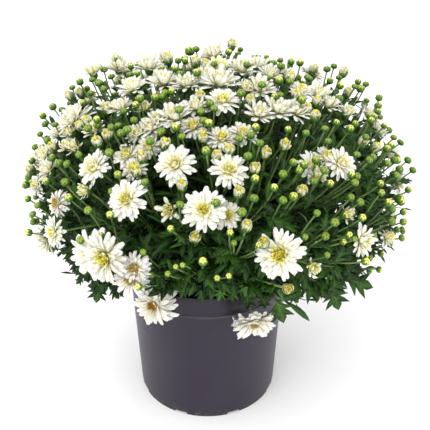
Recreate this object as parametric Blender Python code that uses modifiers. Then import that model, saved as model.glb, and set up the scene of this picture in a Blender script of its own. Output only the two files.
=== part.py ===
"""A white chrysanthemum grown as a dome in its round nursery pot.

Metres, +Z up. The origin is the middle of the pot's underside, and the side seen from the front faces -Y.
An azimuth is counted from the front, positive towards +X. A height angle is counted from the level of the
dome's middle, positive upwards.
"""

import math
from typing import Callable, NamedTuple

import bmesh
import bpy
from mathutils import Matrix, Vector

# The pot, outside sizes
POT_HEIGHT = 0.195
COLLAR_RADIUS = 0.1012
RIDGE_RADIUS = 0.1026
RIDGE_LEVEL = 0.1670
RIDGE_THICKNESS = 0.0028
WALL_TOP_RADIUS = 0.0996
FOOT_RADIUS = 0.0912
STEP_LEVEL = 0.0060
STEP_DEPTH = 0.0006
WALL = 0.0018
FLOOR = 0.0026

# Openings in the pot's foot and floor
FOOT_LOBES = 8
NOTCH_WIDTH = 0.0180
NOTCH_HEIGHT = 0.0036
NOTCH_REACH = 0.0070
DRAIN_RING = 0.0600
DRAIN_RADIUS = 0.0055
DRAIN_SIDES = 16

# The gap that is left between two pieces that touch
GAP = 0.0003

# What fills the pot
MEDIUM_TOP = 0.1765
CROWN_RADIUS = 0.0220
CROWN_MIDDLE = 0.1700
ROOT_RADIUS = 0.0070
ROOT_TIP = 0.1280

# The dome that the flower heads lie on
DOME_MIDDLE = Vector((0.0125, 0.0, 0.2850))
DOME_RADIUS = 0.2260
DOME_RISE = 0.1630
DOME_DROP = 0.1500

# Stems
STEM_BASE_RADIUS = 0.0029
STEM_TIP_RADIUS = 0.0014
STALK_RADIUS = 0.0018
STALK_TIP_RADIUS = 0.0013
STEM_STEPS = 12
STALK_STEPS = 6
STEM_LEAVE, STEM_ARRIVE = 0.95, 0.75
STALK_ARRIVE = 0.80
STRAIGHT_END = 0.0030
FIRST_FORK, FORK_STEP = 0.34, 0.09
FORK_AHEAD = 0.60
SEAT_ANGLE = 48.0
MIDDLE_SEAT_ANGLE = 89.0
FIRST_AZIMUTH = -144.0

# Flower heads
PETALS = 12
CALYX_DEPTH = 0.0105
CALYX_RADIUS = 0.0050
CALYX_SHOULDER = 0.0045
SEAT_RADIUS = 0.0020
DISC_RADIUS = 0.0065
DISC_RISE = 0.0022
PETAL_EDGE = 0.0012
PETAL_CUT = 0.74
# How far the inner petals fill the hollow between the outer ones, as a share of the tips' rise
INNER_FILL = 0.85
# How far the petals' tips rise above their feet, as a share of the head's width
FLAT, CUPPED, CLOSED = 0.06, 0.24, 0.42

# Buds and leaves
BUD_FLATNESS = 0.92
LEAF_THICKNESS = 0.0008
LEAF_DROOP = 0.16
LEAF_FOLD = 0.24
# The right half of a leaf's outline: share of its length along the midrib, and half-width
LEAF_OUTLINE = (
    (0.00, 0.020),
    (0.26, 0.022),
    (0.32, 0.150),
    (0.36, 0.290),
    (0.47, 0.150),
    (0.58, 0.200),
    (0.68, 0.350),
    (0.74, 0.160),
    (0.88, 0.140),
)

ROUND_STEPS = 48
CROWN_STEPS = 16
GOLDEN_ANGLE = math.radians(137.508)
SHARP_ANGLE = math.radians(35.0)


class Head(NamedTuple):
    """A flower head: where it lies on the dome, its width, its form and how far its face is tipped."""

    azimuth: float
    height: float
    width: float
    form: float = FLAT
    reach: float = 1.0
    tip: float = 0.0


class Bud(NamedTuple):
    """A closed flower bud and where it lies on the dome."""

    azimuth: float
    height: float
    width: float = 0.013
    reach: float = 1.0
    tip: float = 0.0


class Leaf(NamedTuple):
    """A leaf: how far up its stem it grows, its turn from straight below the stem, and its length."""

    along: float
    turn: float
    length: float = 0.050


class Stem(NamedTuple):
    """A main stem and what it carries. It runs on into the first thing carried, and the rest have stalks."""

    name: str
    carries: tuple
    leaves: tuple


# The ten outer stems go round the crown in this order, and the last stem stands in its middle
STEMS = (
    Stem(
        "stem_back_left",
        (Head(-150, 24, 0.042), Head(-124, 44, 0.036), Bud(-140, 38, reach=1.03)),
        (Leaf(0.52, -55),),
    ),
    Stem(
        "stem_left",
        (Head(-77, 20, 0.032), Head(-100, 5, 0.040), Head(-78, 33, 0.038, CUPPED)),
        (Leaf(0.58, 60),),
    ),
    Stem(
        "stem_left_front",
        (Head(-45, 28, 0.038), Head(-35, 6, 0.055), Head(-52, 6, 0.033)),
        (Leaf(0.42, -50, 0.056),),
    ),
    Stem(
        "stem_front_left",
        (Head(-15, 35, 0.042), Head(-28, 23, 0.042), Head(-24, 1, 0.042, FLAT, 0.97)),
        (Leaf(0.60, 110),),
    ),
    Stem(
        "stem_front",
        (Head(-4, 23, 0.043), Head(4, 34, 0.038), Head(-30, -28, 0.046, FLAT, 0.80, 58)),
        (Leaf(0.40, 40, 0.046),),
    ),
    Stem(
        "stem_front_right",
        (Head(18, 10, 0.040), Head(3, 21, 0.028, reach=0.94), Head(19, -36, 0.049, CUPPED, 0.88, 46)),
        (Leaf(0.50, 45),),
    ),
    Stem(
        "stem_right_front",
        (Head(46, 29, 0.038), Head(43, 7, 0.035, CUPPED), Head(38, 31, 0.034, reach=0.94)),
        (Leaf(0.42, 50, 0.058),),
    ),
    Stem(
        "stem_right",
        (Head(100, 25, 0.040), Head(92, 3, 0.036), Bud(70, 8)),
        (Leaf(0.52, 50),),
    ),
    Stem(
        "stem_back_right",
        (Head(150, 20, 0.042), Head(125, 40, 0.036), Bud(128, 12, reach=1.02)),
        (Leaf(0.46, 60),),
    ),
    Stem(
        "stem_back",
        (Head(178, 5, 0.040), Head(180, 38, 0.040), Bud(-168, 30, reach=1.02)),
        (Leaf(0.44, 55),),
    ),
    Stem(
        "stem_middle",
        (
            Head(15, 86, 0.030, CLOSED, 1.02),
            Head(4, 62, 0.038),
            Head(-73, 56, 0.036, CUPPED),
            Head(71, 56, 0.028),
            Bud(-150, 68, reach=1.04),
        ),
        (Leaf(0.30, 60, 0.044),),
    ),
)


def collection(name: str) -> bpy.types.Collection:
    """A new collection in the scene."""
    made = bpy.data.collections.new(name)
    bpy.context.scene.collection.children.link(made)
    return made


def material(name: str, colour: tuple, roughness: float, metallic: float = 0.0) -> bpy.types.Material:
    """A plain Principled material."""
    made = bpy.data.materials.new(name)
    made.use_nodes = True
    shader = made.node_tree.nodes["Principled BSDF"]
    shader.inputs["Base Color"].default_value = (*colour, 1.0)
    shader.inputs["Roughness"].default_value = roughness
    shader.inputs["Metallic"].default_value = metallic
    made.diffuse_color = (*colour, 1.0)
    return made


def add(name: str, mesh: bpy.types.Mesh, home: bpy.types.Collection) -> bpy.types.Object:
    """A mesh object in a collection."""
    made = bpy.data.objects.new(name, mesh)
    home.objects.link(made)
    return made


def as_guide(made: bpy.types.Object) -> bpy.types.Object:
    """Marks a cutter or a joined branch, which is no piece of its own."""
    made.hide_render = True
    made.display_type = "WIRE"
    return made


def combine(piece: bpy.types.Object, other: bpy.types.Object, operation: str) -> None:
    """Cuts or joins one shape with another."""
    joint = piece.modifiers.new(other.name, "BOOLEAN")
    joint.operation = operation
    joint.object = other
    joint.solver = "EXACT"


def baked(made: bpy.types.Object) -> bpy.types.Mesh:
    """The mesh of an object with its modifiers applied."""
    bpy.context.view_layer.update()
    evaluated = made.evaluated_get(bpy.context.evaluated_depsgraph_get())
    return bpy.data.meshes.new_from_object(evaluated)


def weld(mesh: bpy.types.Mesh) -> None:
    """Joins the loose caps of a mesh to its sides and turns every face outwards."""
    work = bmesh.new()
    work.from_mesh(mesh)
    bmesh.ops.remove_doubles(work, verts=work.verts, dist=0.00002)
    bmesh.ops.recalc_face_normals(work, faces=work.faces)
    work.to_mesh(mesh)
    work.free()


def turned(name: str, profile: list, steps: int, home: bpy.types.Collection) -> bpy.types.Object:
    """A turned shape. The profile is (radius, height) points that run down the outer side."""
    mesh = bpy.data.meshes.new(name)
    edges = [(i, i + 1) for i in range(len(profile) - 1)]
    mesh.from_pydata([(radius, 0.0, height) for radius, height in profile], edges, [])
    made = add(name, mesh, home)
    screw = made.modifiers.new("turn", "SCREW")
    screw.steps = steps
    screw.render_steps = steps
    screw.use_merge_vertices = True
    screw.merge_threshold = 0.00001
    return made


def along_curve(start: Vector, leave: Vector, end: Vector, arrive: Vector, share: float) -> Vector:
    """The point at a share of a smooth curve that leaves start and arrives at end in given directions."""
    s2, s3 = share * share, share * share * share
    return (
        (2 * s3 - 3 * s2 + 1) * start
        + (s3 - 2 * s2 + share) * leave
        + (3 * s2 - 2 * s3) * end
        + (s3 - s2) * arrive
    )


def tube(name: str, points: list, thick: float, thin: float, home: bpy.types.Collection) -> bpy.types.Object:
    """A closed round tube through points, tapering from one radius to another."""
    curve = bpy.data.curves.new(name, "CURVE")
    curve.dimensions = "3D"
    curve.bevel_depth = thick
    curve.bevel_resolution = 1
    curve.use_fill_caps = True
    spline = curve.splines.new("POLY")
    spline.points.add(len(points) - 1)
    for i, place in enumerate(points):
        spline.points[i].co = (*place, 1.0)
        spline.points[i].radius = 1.0 + (thin / thick - 1.0) * i / (len(points) - 1)
    guide = bpy.data.objects.new(name + "_line", curve)
    home.objects.link(guide)
    mesh = baked(guide)
    bpy.data.objects.remove(guide)
    weld(mesh)
    return add(name, mesh, home)


def dome_radius(height: float) -> float:
    """How far the dome's surface is from its middle at a height angle in radians."""
    upright = DOME_RISE if height >= 0 else DOME_DROP
    return 1.0 / math.hypot(math.cos(height) / DOME_RADIUS, math.sin(height) / upright)


def on_dome(azimuth: float, height: float, reach: float) -> Vector:
    """A place on the dome, or at a share of the way out to it."""
    a, h = math.radians(azimuth), math.radians(height)
    way = Vector((math.sin(a) * math.cos(h), -math.cos(a) * math.cos(h), math.sin(h)))
    return DOME_MIDDLE + reach * dome_radius(h) * way


def facing(azimuth: float, height: float, tip: float) -> Vector:
    """The direction that a flower looks in: square to the dome, tipped up or down by some degrees."""
    h = math.radians(height)
    upright = DOME_RISE if height >= 0 else DOME_DROP
    slope = math.atan2(math.sin(h) / upright**2, math.cos(h) / DOME_RADIUS**2) + math.radians(tip)
    a = math.radians(azimuth)
    return Vector((math.sin(a) * math.cos(slope), -math.cos(a) * math.cos(slope), math.sin(slope)))


def inner_radius(height: float) -> float:
    """The pot's inside radius at a level."""
    under_ridge = RIDGE_LEVEL - RIDGE_THICKNESS
    share = min(1.0, (height - FLOOR) / (under_ridge - FLOOR))
    return FOOT_RADIUS + (WALL_TOP_RADIUS - FOOT_RADIUS) * share - WALL


def make_pot(parts: bpy.types.Collection, cutters: bpy.types.Collection) -> bpy.types.Object:
    """The pot: collar, ridge, tapering wall, stepped foot with notches, and a floor with drain holes."""
    ridge_top = RIDGE_LEVEL + RIDGE_THICKNESS / 2
    ridge_bottom = RIDGE_LEVEL - RIDGE_THICKNESS / 2
    wall_start = ridge_bottom - RIDGE_THICKNESS / 2
    pot = turned(
        "nursery_pot",
        [
            (0.0, FLOOR),
            (inner_radius(FLOOR), FLOOR),
            (inner_radius(wall_start), wall_start),
            (COLLAR_RADIUS - WALL, ridge_top),
            (COLLAR_RADIUS - WALL, POT_HEIGHT),
            (COLLAR_RADIUS, POT_HEIGHT),
            (COLLAR_RADIUS, ridge_top),
            (RIDGE_RADIUS, ridge_top),
            (RIDGE_RADIUS, ridge_bottom),
            (WALL_TOP_RADIUS, wall_start),
            (FOOT_RADIUS + STEP_DEPTH, STEP_LEVEL),
            (FOOT_RADIUS, STEP_LEVEL),
            (FOOT_RADIUS, 0.0),
            (0.0, 0.0),
        ],
        ROUND_STEPS,
        parts,
    )
    for i in range(FOOT_LOBES):
        turn = Matrix.Rotation(2 * math.pi * (i + 0.5) / FOOT_LOBES, 4, "Z")
        work = bmesh.new()
        place = turn @ Matrix.Translation((FOOT_RADIUS, 0, 0))
        size = Matrix.Diagonal((2 * NOTCH_REACH, NOTCH_WIDTH, 2 * NOTCH_HEIGHT, 1))
        bmesh.ops.create_cube(work, size=1.0, matrix=place @ size)
        mesh = bpy.data.meshes.new("notch")
        work.to_mesh(mesh)
        work.free()
        combine(pot, as_guide(add(f"notch_{i + 1}", mesh, cutters)), "DIFFERENCE")
    for i in range(FOOT_LOBES):
        turn = Matrix.Rotation(2 * math.pi * i / FOOT_LOBES, 4, "Z")
        work = bmesh.new()
        bmesh.ops.create_cone(
            work,
            cap_ends=True,
            segments=DRAIN_SIDES,
            radius1=DRAIN_RADIUS,
            radius2=DRAIN_RADIUS,
            depth=4 * FLOOR,
            matrix=turn @ Matrix.Translation((DRAIN_RING, 0, 0)),
        )
        mesh = bpy.data.meshes.new("drain")
        work.to_mesh(mesh)
        work.free()
        combine(pot, as_guide(add(f"drain_{i + 1}", mesh, cutters)), "DIFFERENCE")
    return pot


def crown_profile(grow: float) -> list:
    """The root crown's outline, or one that stands off it by some distance."""
    profile = [(0.0, CROWN_MIDDLE + CROWN_RADIUS + grow)]
    for degrees in (65, 45, 25, 5, -15):
        a = math.radians(degrees)
        radius = (CROWN_RADIUS + grow) * math.cos(a)
        profile.append((radius, CROWN_MIDDLE + (CROWN_RADIUS + grow) * math.sin(a)))
    profile.append((ROOT_RADIUS + grow, ROOT_TIP + ROOT_RADIUS))
    profile.append((0.0, ROOT_TIP - grow))
    return profile


def make_medium(parts: bpy.types.Collection, cutters: bpy.types.Collection) -> bpy.types.Object:
    """The plug of compost, shaped by the pot, with a socket for the crown."""
    low = FLOOR + GAP
    bend = RIDGE_LEVEL - 2 * RIDGE_THICKNESS
    medium = turned(
        "growing_medium",
        [
            (0.0, MEDIUM_TOP),
            (0.6 * COLLAR_RADIUS, MEDIUM_TOP),
            (inner_radius(bend) - GAP, MEDIUM_TOP - 0.003),
            (inner_radius(bend) - GAP, bend),
            (inner_radius(low) - GAP, low),
            (0.0, low),
        ],
        ROUND_STEPS,
        parts,
    )
    socket = turned("crown_socket", crown_profile(1.3 * GAP), CROWN_STEPS, cutters)
    combine(medium, as_guide(socket), "DIFFERENCE")
    return medium


def make_crown(parts: bpy.types.Collection) -> bpy.types.Object:
    """The woody base that the stems grow from, with its root in the compost."""
    return turned("root_crown", crown_profile(0.0), CROWN_STEPS, parts)


def crown_seat(place: int) -> tuple:
    """Where a stem starts on the crown, and the direction that it starts in."""
    outer = len(STEMS) - 1
    a = math.radians(FIRST_AZIMUTH + 360.0 * place / outer)
    up = math.radians(SEAT_ANGLE if place < outer else MIDDLE_SEAT_ANGLE)
    out = Vector((math.sin(a) * math.cos(up), -math.cos(a) * math.cos(up), math.sin(up)))
    return Vector((0.0, 0.0, CROWN_MIDDLE)) + (CROWN_RADIUS + GAP) * out, out


def head_mesh(name: str, head: Head) -> bpy.types.Mesh:
    """A flower head as one solid: calyx, a ring of petals with cut tips, and the raised disc."""
    radius = head.width / 2
    lift = head.form * head.width
    rim = CALYX_DEPTH + lift
    heart = CALYX_DEPTH + INNER_FILL * lift
    profile = [
        (0.0, heart + DISC_RISE),
        (DISC_RADIUS, heart + DISC_RISE / 2),
        (radius, rim + PETAL_EDGE / 2),
        (radius, rim - PETAL_EDGE / 2),
        (CALYX_RADIUS, CALYX_SHOULDER),
        (SEAT_RADIUS, 0.0),
        (0.0, 0.0),
    ]
    scratch = turned(name + "_turned", profile, 2 * PETALS, bpy.context.scene.collection)
    mesh = baked(scratch)
    bpy.data.objects.remove(scratch)
    step = math.pi / PETALS
    for vertex in mesh.vertices:
        x, y, z = vertex.co
        column = round(math.atan2(y, x) / step)
        if z > CALYX_SHOULDER and math.hypot(x, y) > 1.01 * DISC_RADIUS and column % 2:
            vertex.co = (x * PETAL_CUT, y * PETAL_CUT, z - (1 - PETAL_CUT) * (1 - INNER_FILL) * lift)
    mesh.name = name
    return mesh


def bud_mesh(name: str, bud: Bud) -> bpy.types.Mesh:
    """A bud as a slightly flattened ball that stands on the origin."""
    work = bmesh.new()
    bmesh.ops.create_uvsphere(work, u_segments=8, v_segments=6, radius=bud.width / 2)
    rise = Matrix.Translation((0, 0, BUD_FLATNESS * bud.width / 2))
    bmesh.ops.transform(work, matrix=rise @ Matrix.Diagonal((1, 1, BUD_FLATNESS, 1)), verts=work.verts)
    mesh = bpy.data.meshes.new(name)
    work.to_mesh(mesh)
    work.free()
    return mesh


def leaf_mesh(name: str, leaf: Leaf) -> bpy.types.Mesh:
    """A lobed leaf, open below, which runs out along +X from its stalk's foot and droops."""
    right = [(along * leaf.length, -half * leaf.length) for along, half in LEAF_OUTLINE]
    left = [(x, -y) for x, y in reversed(right)]
    outline = [*right, (leaf.length, 0.0), *left]
    curve = bpy.data.curves.new(name, "CURVE")
    curve.dimensions = "2D"
    curve.fill_mode = "BOTH"
    spline = curve.splines.new("POLY")
    spline.points.add(len(outline) - 1)
    spline.use_cyclic_u = True
    for point, (x, y) in zip(spline.points, outline):
        point.co = (x, y, 0.0, 1.0)
    guide = bpy.data.objects.new(name + "_outline", curve)
    bpy.context.scene.collection.objects.link(guide)
    mesh = baked(guide)
    bpy.data.objects.remove(guide)
    for vertex in mesh.vertices:
        x, y, _ = vertex.co
        vertex.co.z = LEAF_FOLD * abs(y) - LEAF_DROOP * x * x / leaf.length
    return mesh


def placed(made: bpy.types.Object, place: Vector, way: Vector, spin: float) -> None:
    """Stands an object on a place with its +Z along a direction, turned round that direction."""
    turn = way.to_track_quat("Z", "Y").to_matrix().to_4x4()
    made.matrix_world = Matrix.Translation(place) @ turn @ Matrix.Rotation(spin, 4, "Z")


def seat_of(thing: tuple) -> tuple:
    """The foot of a flower head or bud, and the way that it faces."""
    way = facing(thing.azimuth, thing.height, thing.tip)
    depth = CALYX_DEPTH if isinstance(thing, Head) else thing.width / 2
    return on_dome(thing.azimuth, thing.height, thing.reach) - depth * way, way


def stem_line(start: Vector, out: Vector, end: Vector, way: Vector) -> Callable:
    """A main stem's middle line, as a function of the share of its length."""
    length = (end - start).length
    leave, arrive = STEM_LEAVE * length * out, STEM_ARRIVE * length * way
    return lambda share: along_curve(start, leave, end, arrive, share)


def make_stem(
    stem: Stem,
    place: int,
    names: dict,
    looks: dict,
    parts: bpy.types.Collection,
    cutters: bpy.types.Collection,
) -> None:
    """One main stem with its side stalks, and the heads, buds and leaves that it carries."""
    seats = [seat_of(thing) for thing in stem.carries]
    start, out = crown_seat(place)
    foot, way = seats[0]
    line = stem_line(start, out, foot - (GAP + STRAIGHT_END) * way, way)
    points = [line(i / STEM_STEPS) for i in range(STEM_STEPS + 1)] + [foot - GAP * way]
    trunk = tube(stem.name, points, STEM_BASE_RADIUS, STEM_TIP_RADIUS, parts)
    trunk.data.materials.append(looks["stem"])
    for i, (foot, way) in enumerate(seats[1:]):
        share = FIRST_FORK + FORK_STEP * i
        fork = line(share)
        ahead = (line(share + 0.02) - fork).normalized()
        end = foot - (GAP + STRAIGHT_END) * way
        reach = (end - fork).length
        leave = reach * (FORK_AHEAD * ahead + (1 - FORK_AHEAD) * (end - fork).normalized())
        arrive = STALK_ARRIVE * reach * way
        stalk = [along_curve(fork, leave, end, arrive, n / STALK_STEPS) for n in range(STALK_STEPS + 1)]
        stalk.append(foot - GAP * way)
        branch = tube(f"{stem.name}_stalk_{i + 1}", stalk, STALK_RADIUS, STALK_TIP_RADIUS, cutters)
        combine(trunk, as_guide(branch), "UNION")
    for thing, (foot, way) in zip(stem.carries, seats):
        kind = "flower_head" if isinstance(thing, Head) else "flower_bud"
        names[kind] += 1
        name = f"{kind}_{names[kind]:02d}"
        mesh = head_mesh(name, thing) if isinstance(thing, Head) else bud_mesh(name, thing)
        piece = add(name, mesh, parts)
        placed(piece, foot, way, GOLDEN_ANGLE * names[kind])
        piece.data.materials.append(looks["petal" if isinstance(thing, Head) else "bud"])
    for leaf in stem.leaves:
        names["leaf"] += 1
        make_leaf(f"leaf_{names['leaf']:02d}", leaf, line, looks["leaf"], parts)


def make_leaf(
    name: str, leaf: Leaf, line: Callable, look: bpy.types.Material, parts: bpy.types.Collection
) -> None:
    """A leaf that grows square out of its stem, its face turned up."""
    place = line(leaf.along)
    ahead = (line(leaf.along + 0.02) - place).normalized()
    level = ahead.cross(Vector((0, 0, 1))).normalized()
    below = ahead.cross(level)
    turn = math.radians(leaf.turn)
    side = math.cos(turn) * below - math.sin(turn) * level
    radius = STEM_BASE_RADIUS + (STEM_TIP_RADIUS - STEM_BASE_RADIUS) * leaf.along
    piece = add(name, leaf_mesh(name, leaf), parts)
    across = Vector((0, 0, 1)).cross(side).normalized()
    face = side.cross(across)
    axes = Matrix((side, across, face)).transposed().to_4x4()
    piece.matrix_world = Matrix.Translation(place + (radius + 1.5 * GAP) * side) @ axes
    skin = piece.modifiers.new("thickness", "SOLIDIFY")
    skin.thickness = LEAF_THICKNESS
    skin.offset = 0.0
    piece.data.materials.append(look)


def main() -> None:
    """Clears the scene and builds the pot and the plant."""
    for old in list(bpy.data.objects):
        bpy.data.objects.remove(old)
    parts = collection("pot_chrysanthemum")
    cutters = collection("cutters")
    looks = {
        "pot": material("pot_plastic", (0.055, 0.052, 0.062), 0.55),
        "medium": material("compost", (0.035, 0.022, 0.014), 0.95),
        "crown": material("woody_crown", (0.16, 0.12, 0.06), 0.85),
        "stem": material("stem_green", (0.16, 0.26, 0.07), 0.6),
        "leaf": material("leaf_green", (0.035, 0.13, 0.02), 0.5),
        "bud": material("bud_green", (0.15, 0.35, 0.04), 0.5),
        "petal": material("petal_cream", (0.90, 0.88, 0.72), 0.6),
    }
    make_pot(parts, cutters).data.materials.append(looks["pot"])
    make_medium(parts, cutters).data.materials.append(looks["medium"])
    make_crown(parts).data.materials.append(looks["crown"])
    names = {"flower_head": 0, "flower_bud": 0, "leaf": 0}
    for place, stem in enumerate(STEMS):
        make_stem(stem, place, names, looks, parts, cutters)
    for piece in parts.objects:
        if piece.type == "MESH" and not piece.name.startswith("leaf"):
            piece.data.shade_smooth()
            piece.data.set_sharp_from_angle(angle=SHARP_ANGLE)


main()
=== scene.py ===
"""The looks of the pot chrysanthemum: pot, compost, stems, leaves, buds and flower heads.

Metres, +Z up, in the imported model's own frame. The origin is the middle of the pot's underside, and the
front faces -Y. An azimuth is counted from the front, positive towards +X.
"""

import logging
import math
import random
from dataclasses import dataclass, field, replace
from enum import Enum

import bmesh
import bpy
import numpy as np
from bmesh.types import BMesh
from bpy.types import ID, Collection, Material, Mesh, Node, NodeSocket, NodeTree, Object
from mathutils import Matrix, Vector


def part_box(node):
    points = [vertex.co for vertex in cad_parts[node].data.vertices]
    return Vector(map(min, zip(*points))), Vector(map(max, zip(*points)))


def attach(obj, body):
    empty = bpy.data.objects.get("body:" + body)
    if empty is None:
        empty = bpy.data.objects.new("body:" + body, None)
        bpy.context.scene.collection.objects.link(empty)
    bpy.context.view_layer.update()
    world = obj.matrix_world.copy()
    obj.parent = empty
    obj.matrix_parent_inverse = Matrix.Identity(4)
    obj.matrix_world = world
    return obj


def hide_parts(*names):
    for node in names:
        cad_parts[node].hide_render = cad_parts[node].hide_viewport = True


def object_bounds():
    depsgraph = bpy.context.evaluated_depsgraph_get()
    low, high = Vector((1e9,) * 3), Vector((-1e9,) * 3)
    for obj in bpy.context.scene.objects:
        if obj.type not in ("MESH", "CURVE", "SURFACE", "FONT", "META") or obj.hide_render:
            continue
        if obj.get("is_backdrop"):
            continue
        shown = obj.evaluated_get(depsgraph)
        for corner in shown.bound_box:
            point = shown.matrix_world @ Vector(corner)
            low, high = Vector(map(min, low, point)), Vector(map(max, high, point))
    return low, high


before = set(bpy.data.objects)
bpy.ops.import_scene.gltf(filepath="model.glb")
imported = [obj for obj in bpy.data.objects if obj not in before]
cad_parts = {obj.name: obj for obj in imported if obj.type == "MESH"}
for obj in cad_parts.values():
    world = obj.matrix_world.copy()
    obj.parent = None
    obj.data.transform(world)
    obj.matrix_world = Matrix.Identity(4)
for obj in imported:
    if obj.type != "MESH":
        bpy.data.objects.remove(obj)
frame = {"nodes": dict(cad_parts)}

LOG = logging.getLogger("pot_chrysanthemum")
BODY = "root"
GOLDEN_ANGLE = math.radians(137.508)
FULL_TURN = 6.28
WELD = 0.00002
MILLIMETRE = 0.001
UP = Vector((0.0, 0.0, 1.0))
Colour = tuple[float, float, float]


class Nodes:
    """A node tree in the making, with short calls that add a node and join it up."""

    def __init__(self, tree: NodeTree) -> None:
        """Takes the tree that the nodes are added to."""
        self.tree = tree

    def feed(self, node: Node, name: int | str, value: object) -> None:
        """Gives an input a value, or the output that feeds it.

        Args:
            node: the node whose input it is.
            name: the input's name or place.
            value: a plain value or another node's output.
        """
        if isinstance(value, NodeSocket):
            self.tree.links.new(value, node.inputs[name])
        else:
            node.inputs[name].default_value = value

    def add(self, kind: str, values: dict | None = None, **settings: object) -> Node:
        """Adds a node.

        Args:
            kind: Blender's name for the type of node.
            values: what its inputs hold, by name or place.
            **settings: the node's own settings.

        Returns:
            The new node.
        """
        node = self.tree.nodes.new(kind)
        for name, value in settings.items():
            setattr(node, name, value)
        for name, value in (values or {}).items():
            self.feed(node, name, value)
        return node

    def math(self, operation: str, *values: object) -> NodeSocket:
        """The result of one sum."""
        return self.add("ShaderNodeMath", dict(enumerate(values)), operation=operation).outputs[0]

    def times(self, first: object, second: object) -> NodeSocket:
        """One number times another."""
        return self.math("MULTIPLY", first, second)

    def plus(self, value: object, factor: object, more: object) -> NodeSocket:
        """A number times a factor, plus another number."""
        return self.math("MULTIPLY_ADD", value, factor, more)

    def rest(self, share: object) -> NodeSocket:
        """What a share leaves of 1."""
        return self.math("SUBTRACT", 1.0, share)

    def between(self, share: object, low: object, high: object) -> NodeSocket:
        """A number that runs from low to high as share runs from 0 to 1."""
        return self.math("ADD", low, self.times(share, self.math("SUBTRACT", high, low)))

    def vector(self, x: object, y: object, z: object) -> NodeSocket:
        """Three numbers as one vector."""
        return self.add("ShaderNodeCombineXYZ", {0: x, 1: y, 2: z}).outputs[0]

    def attribute(self, name: str) -> NodeSocket:
        """In a material: a number that the mesh holds."""
        return self.add("ShaderNodeAttribute", attribute_name=name).outputs["Fac"]

    def level(self) -> NodeSocket:
        """In a material: the height above the pot's underside."""
        where = self.add("ShaderNodeTexCoord").outputs["Object"]
        return self.add("ShaderNodeSeparateXYZ", {0: where}).outputs[2]

    def blend(self, share: object, first: object, second: object) -> NodeSocket:
        """In a material: a colour between two colours."""
        values = {0: share, 6: self._colour(first), 7: self._colour(second)}
        return self.add("ShaderNodeMix", values, data_type="RGBA").outputs[2]

    @staticmethod
    def _colour(value: object) -> object:
        """A colour with its fourth number, or the output that gives one."""
        return (*value, 1.0) if isinstance(value, tuple) else value

    def step(self, value: object, low: float, high: float) -> NodeSocket:
        """0 below low, 1 above high, and a smooth rise between them."""
        values = {0: value, 1: low, 2: high}
        return self.add("ShaderNodeMapRange", values, interpolation_type="SMOOTHSTEP").outputs[0]

    def noise(self, scale: float, stretch: tuple = (1, 1, 1), detail: float = 4.0) -> NodeSocket:
        """In a material: soft noise on the object's own coordinates.

        Args:
            scale: how many patches lie in a metre.
            stretch: how much finer it is along each axis.
            detail: how many finer layers it has.

        Returns:
            The noise as a number about 0.5.
        """
        where = self.add("ShaderNodeTexCoord").outputs["Object"]
        mapped = self.add("ShaderNodeMapping", {"Vector": where, "Scale": stretch}).outputs[0]
        values = {"Vector": mapped, "Scale": scale, "Detail": detail}
        return self.add("ShaderNodeTexNoise", values).outputs[0]

    def bump(self, height: object, strength: float, depth: float,
             under: object = None) -> NodeSocket:
        """In a material: a bumped surface.

        Args:
            height: the relief, 0 to 1.
            strength: how strongly it shows.
            depth: the relief's height in metres.
            under: another bump that this one lies on.

        Returns:
            The bumped normal.
        """
        values = {"Strength": strength, "Distance": depth, "Height": height}
        if under is not None:
            values["Normal"] = under
        return self.add("ShaderNodeBump", values).outputs[0]


@dataclass(frozen=True)
class Finish:
    """A finish. Each kind below wires its own colour, roughness and relief."""

    name: str
    roughness: float = 0.5
    specular: float = 0.5

    def make(self) -> Material:
        """The material, made once however often it is asked for."""
        made = bpy.data.materials.get(self.name)
        if made is None:
            made = bpy.data.materials.new(self.name)
            made.use_nodes = True
            shader = made.node_tree.nodes["Principled BSDF"]
            shader.inputs["Roughness"].default_value = self.roughness
            shader.inputs["Specular IOR Level"].default_value = self.specular
            nodes = Nodes(made.node_tree)
            for name, value in self.wire(nodes).items():
                nodes.feed(shader, name, value)
        return made

    def wire(self, nodes: Nodes) -> dict:
        """Adds the finish's nodes to a tree and gives what the shader's inputs get, by name."""
        raise NotImplementedError


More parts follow.
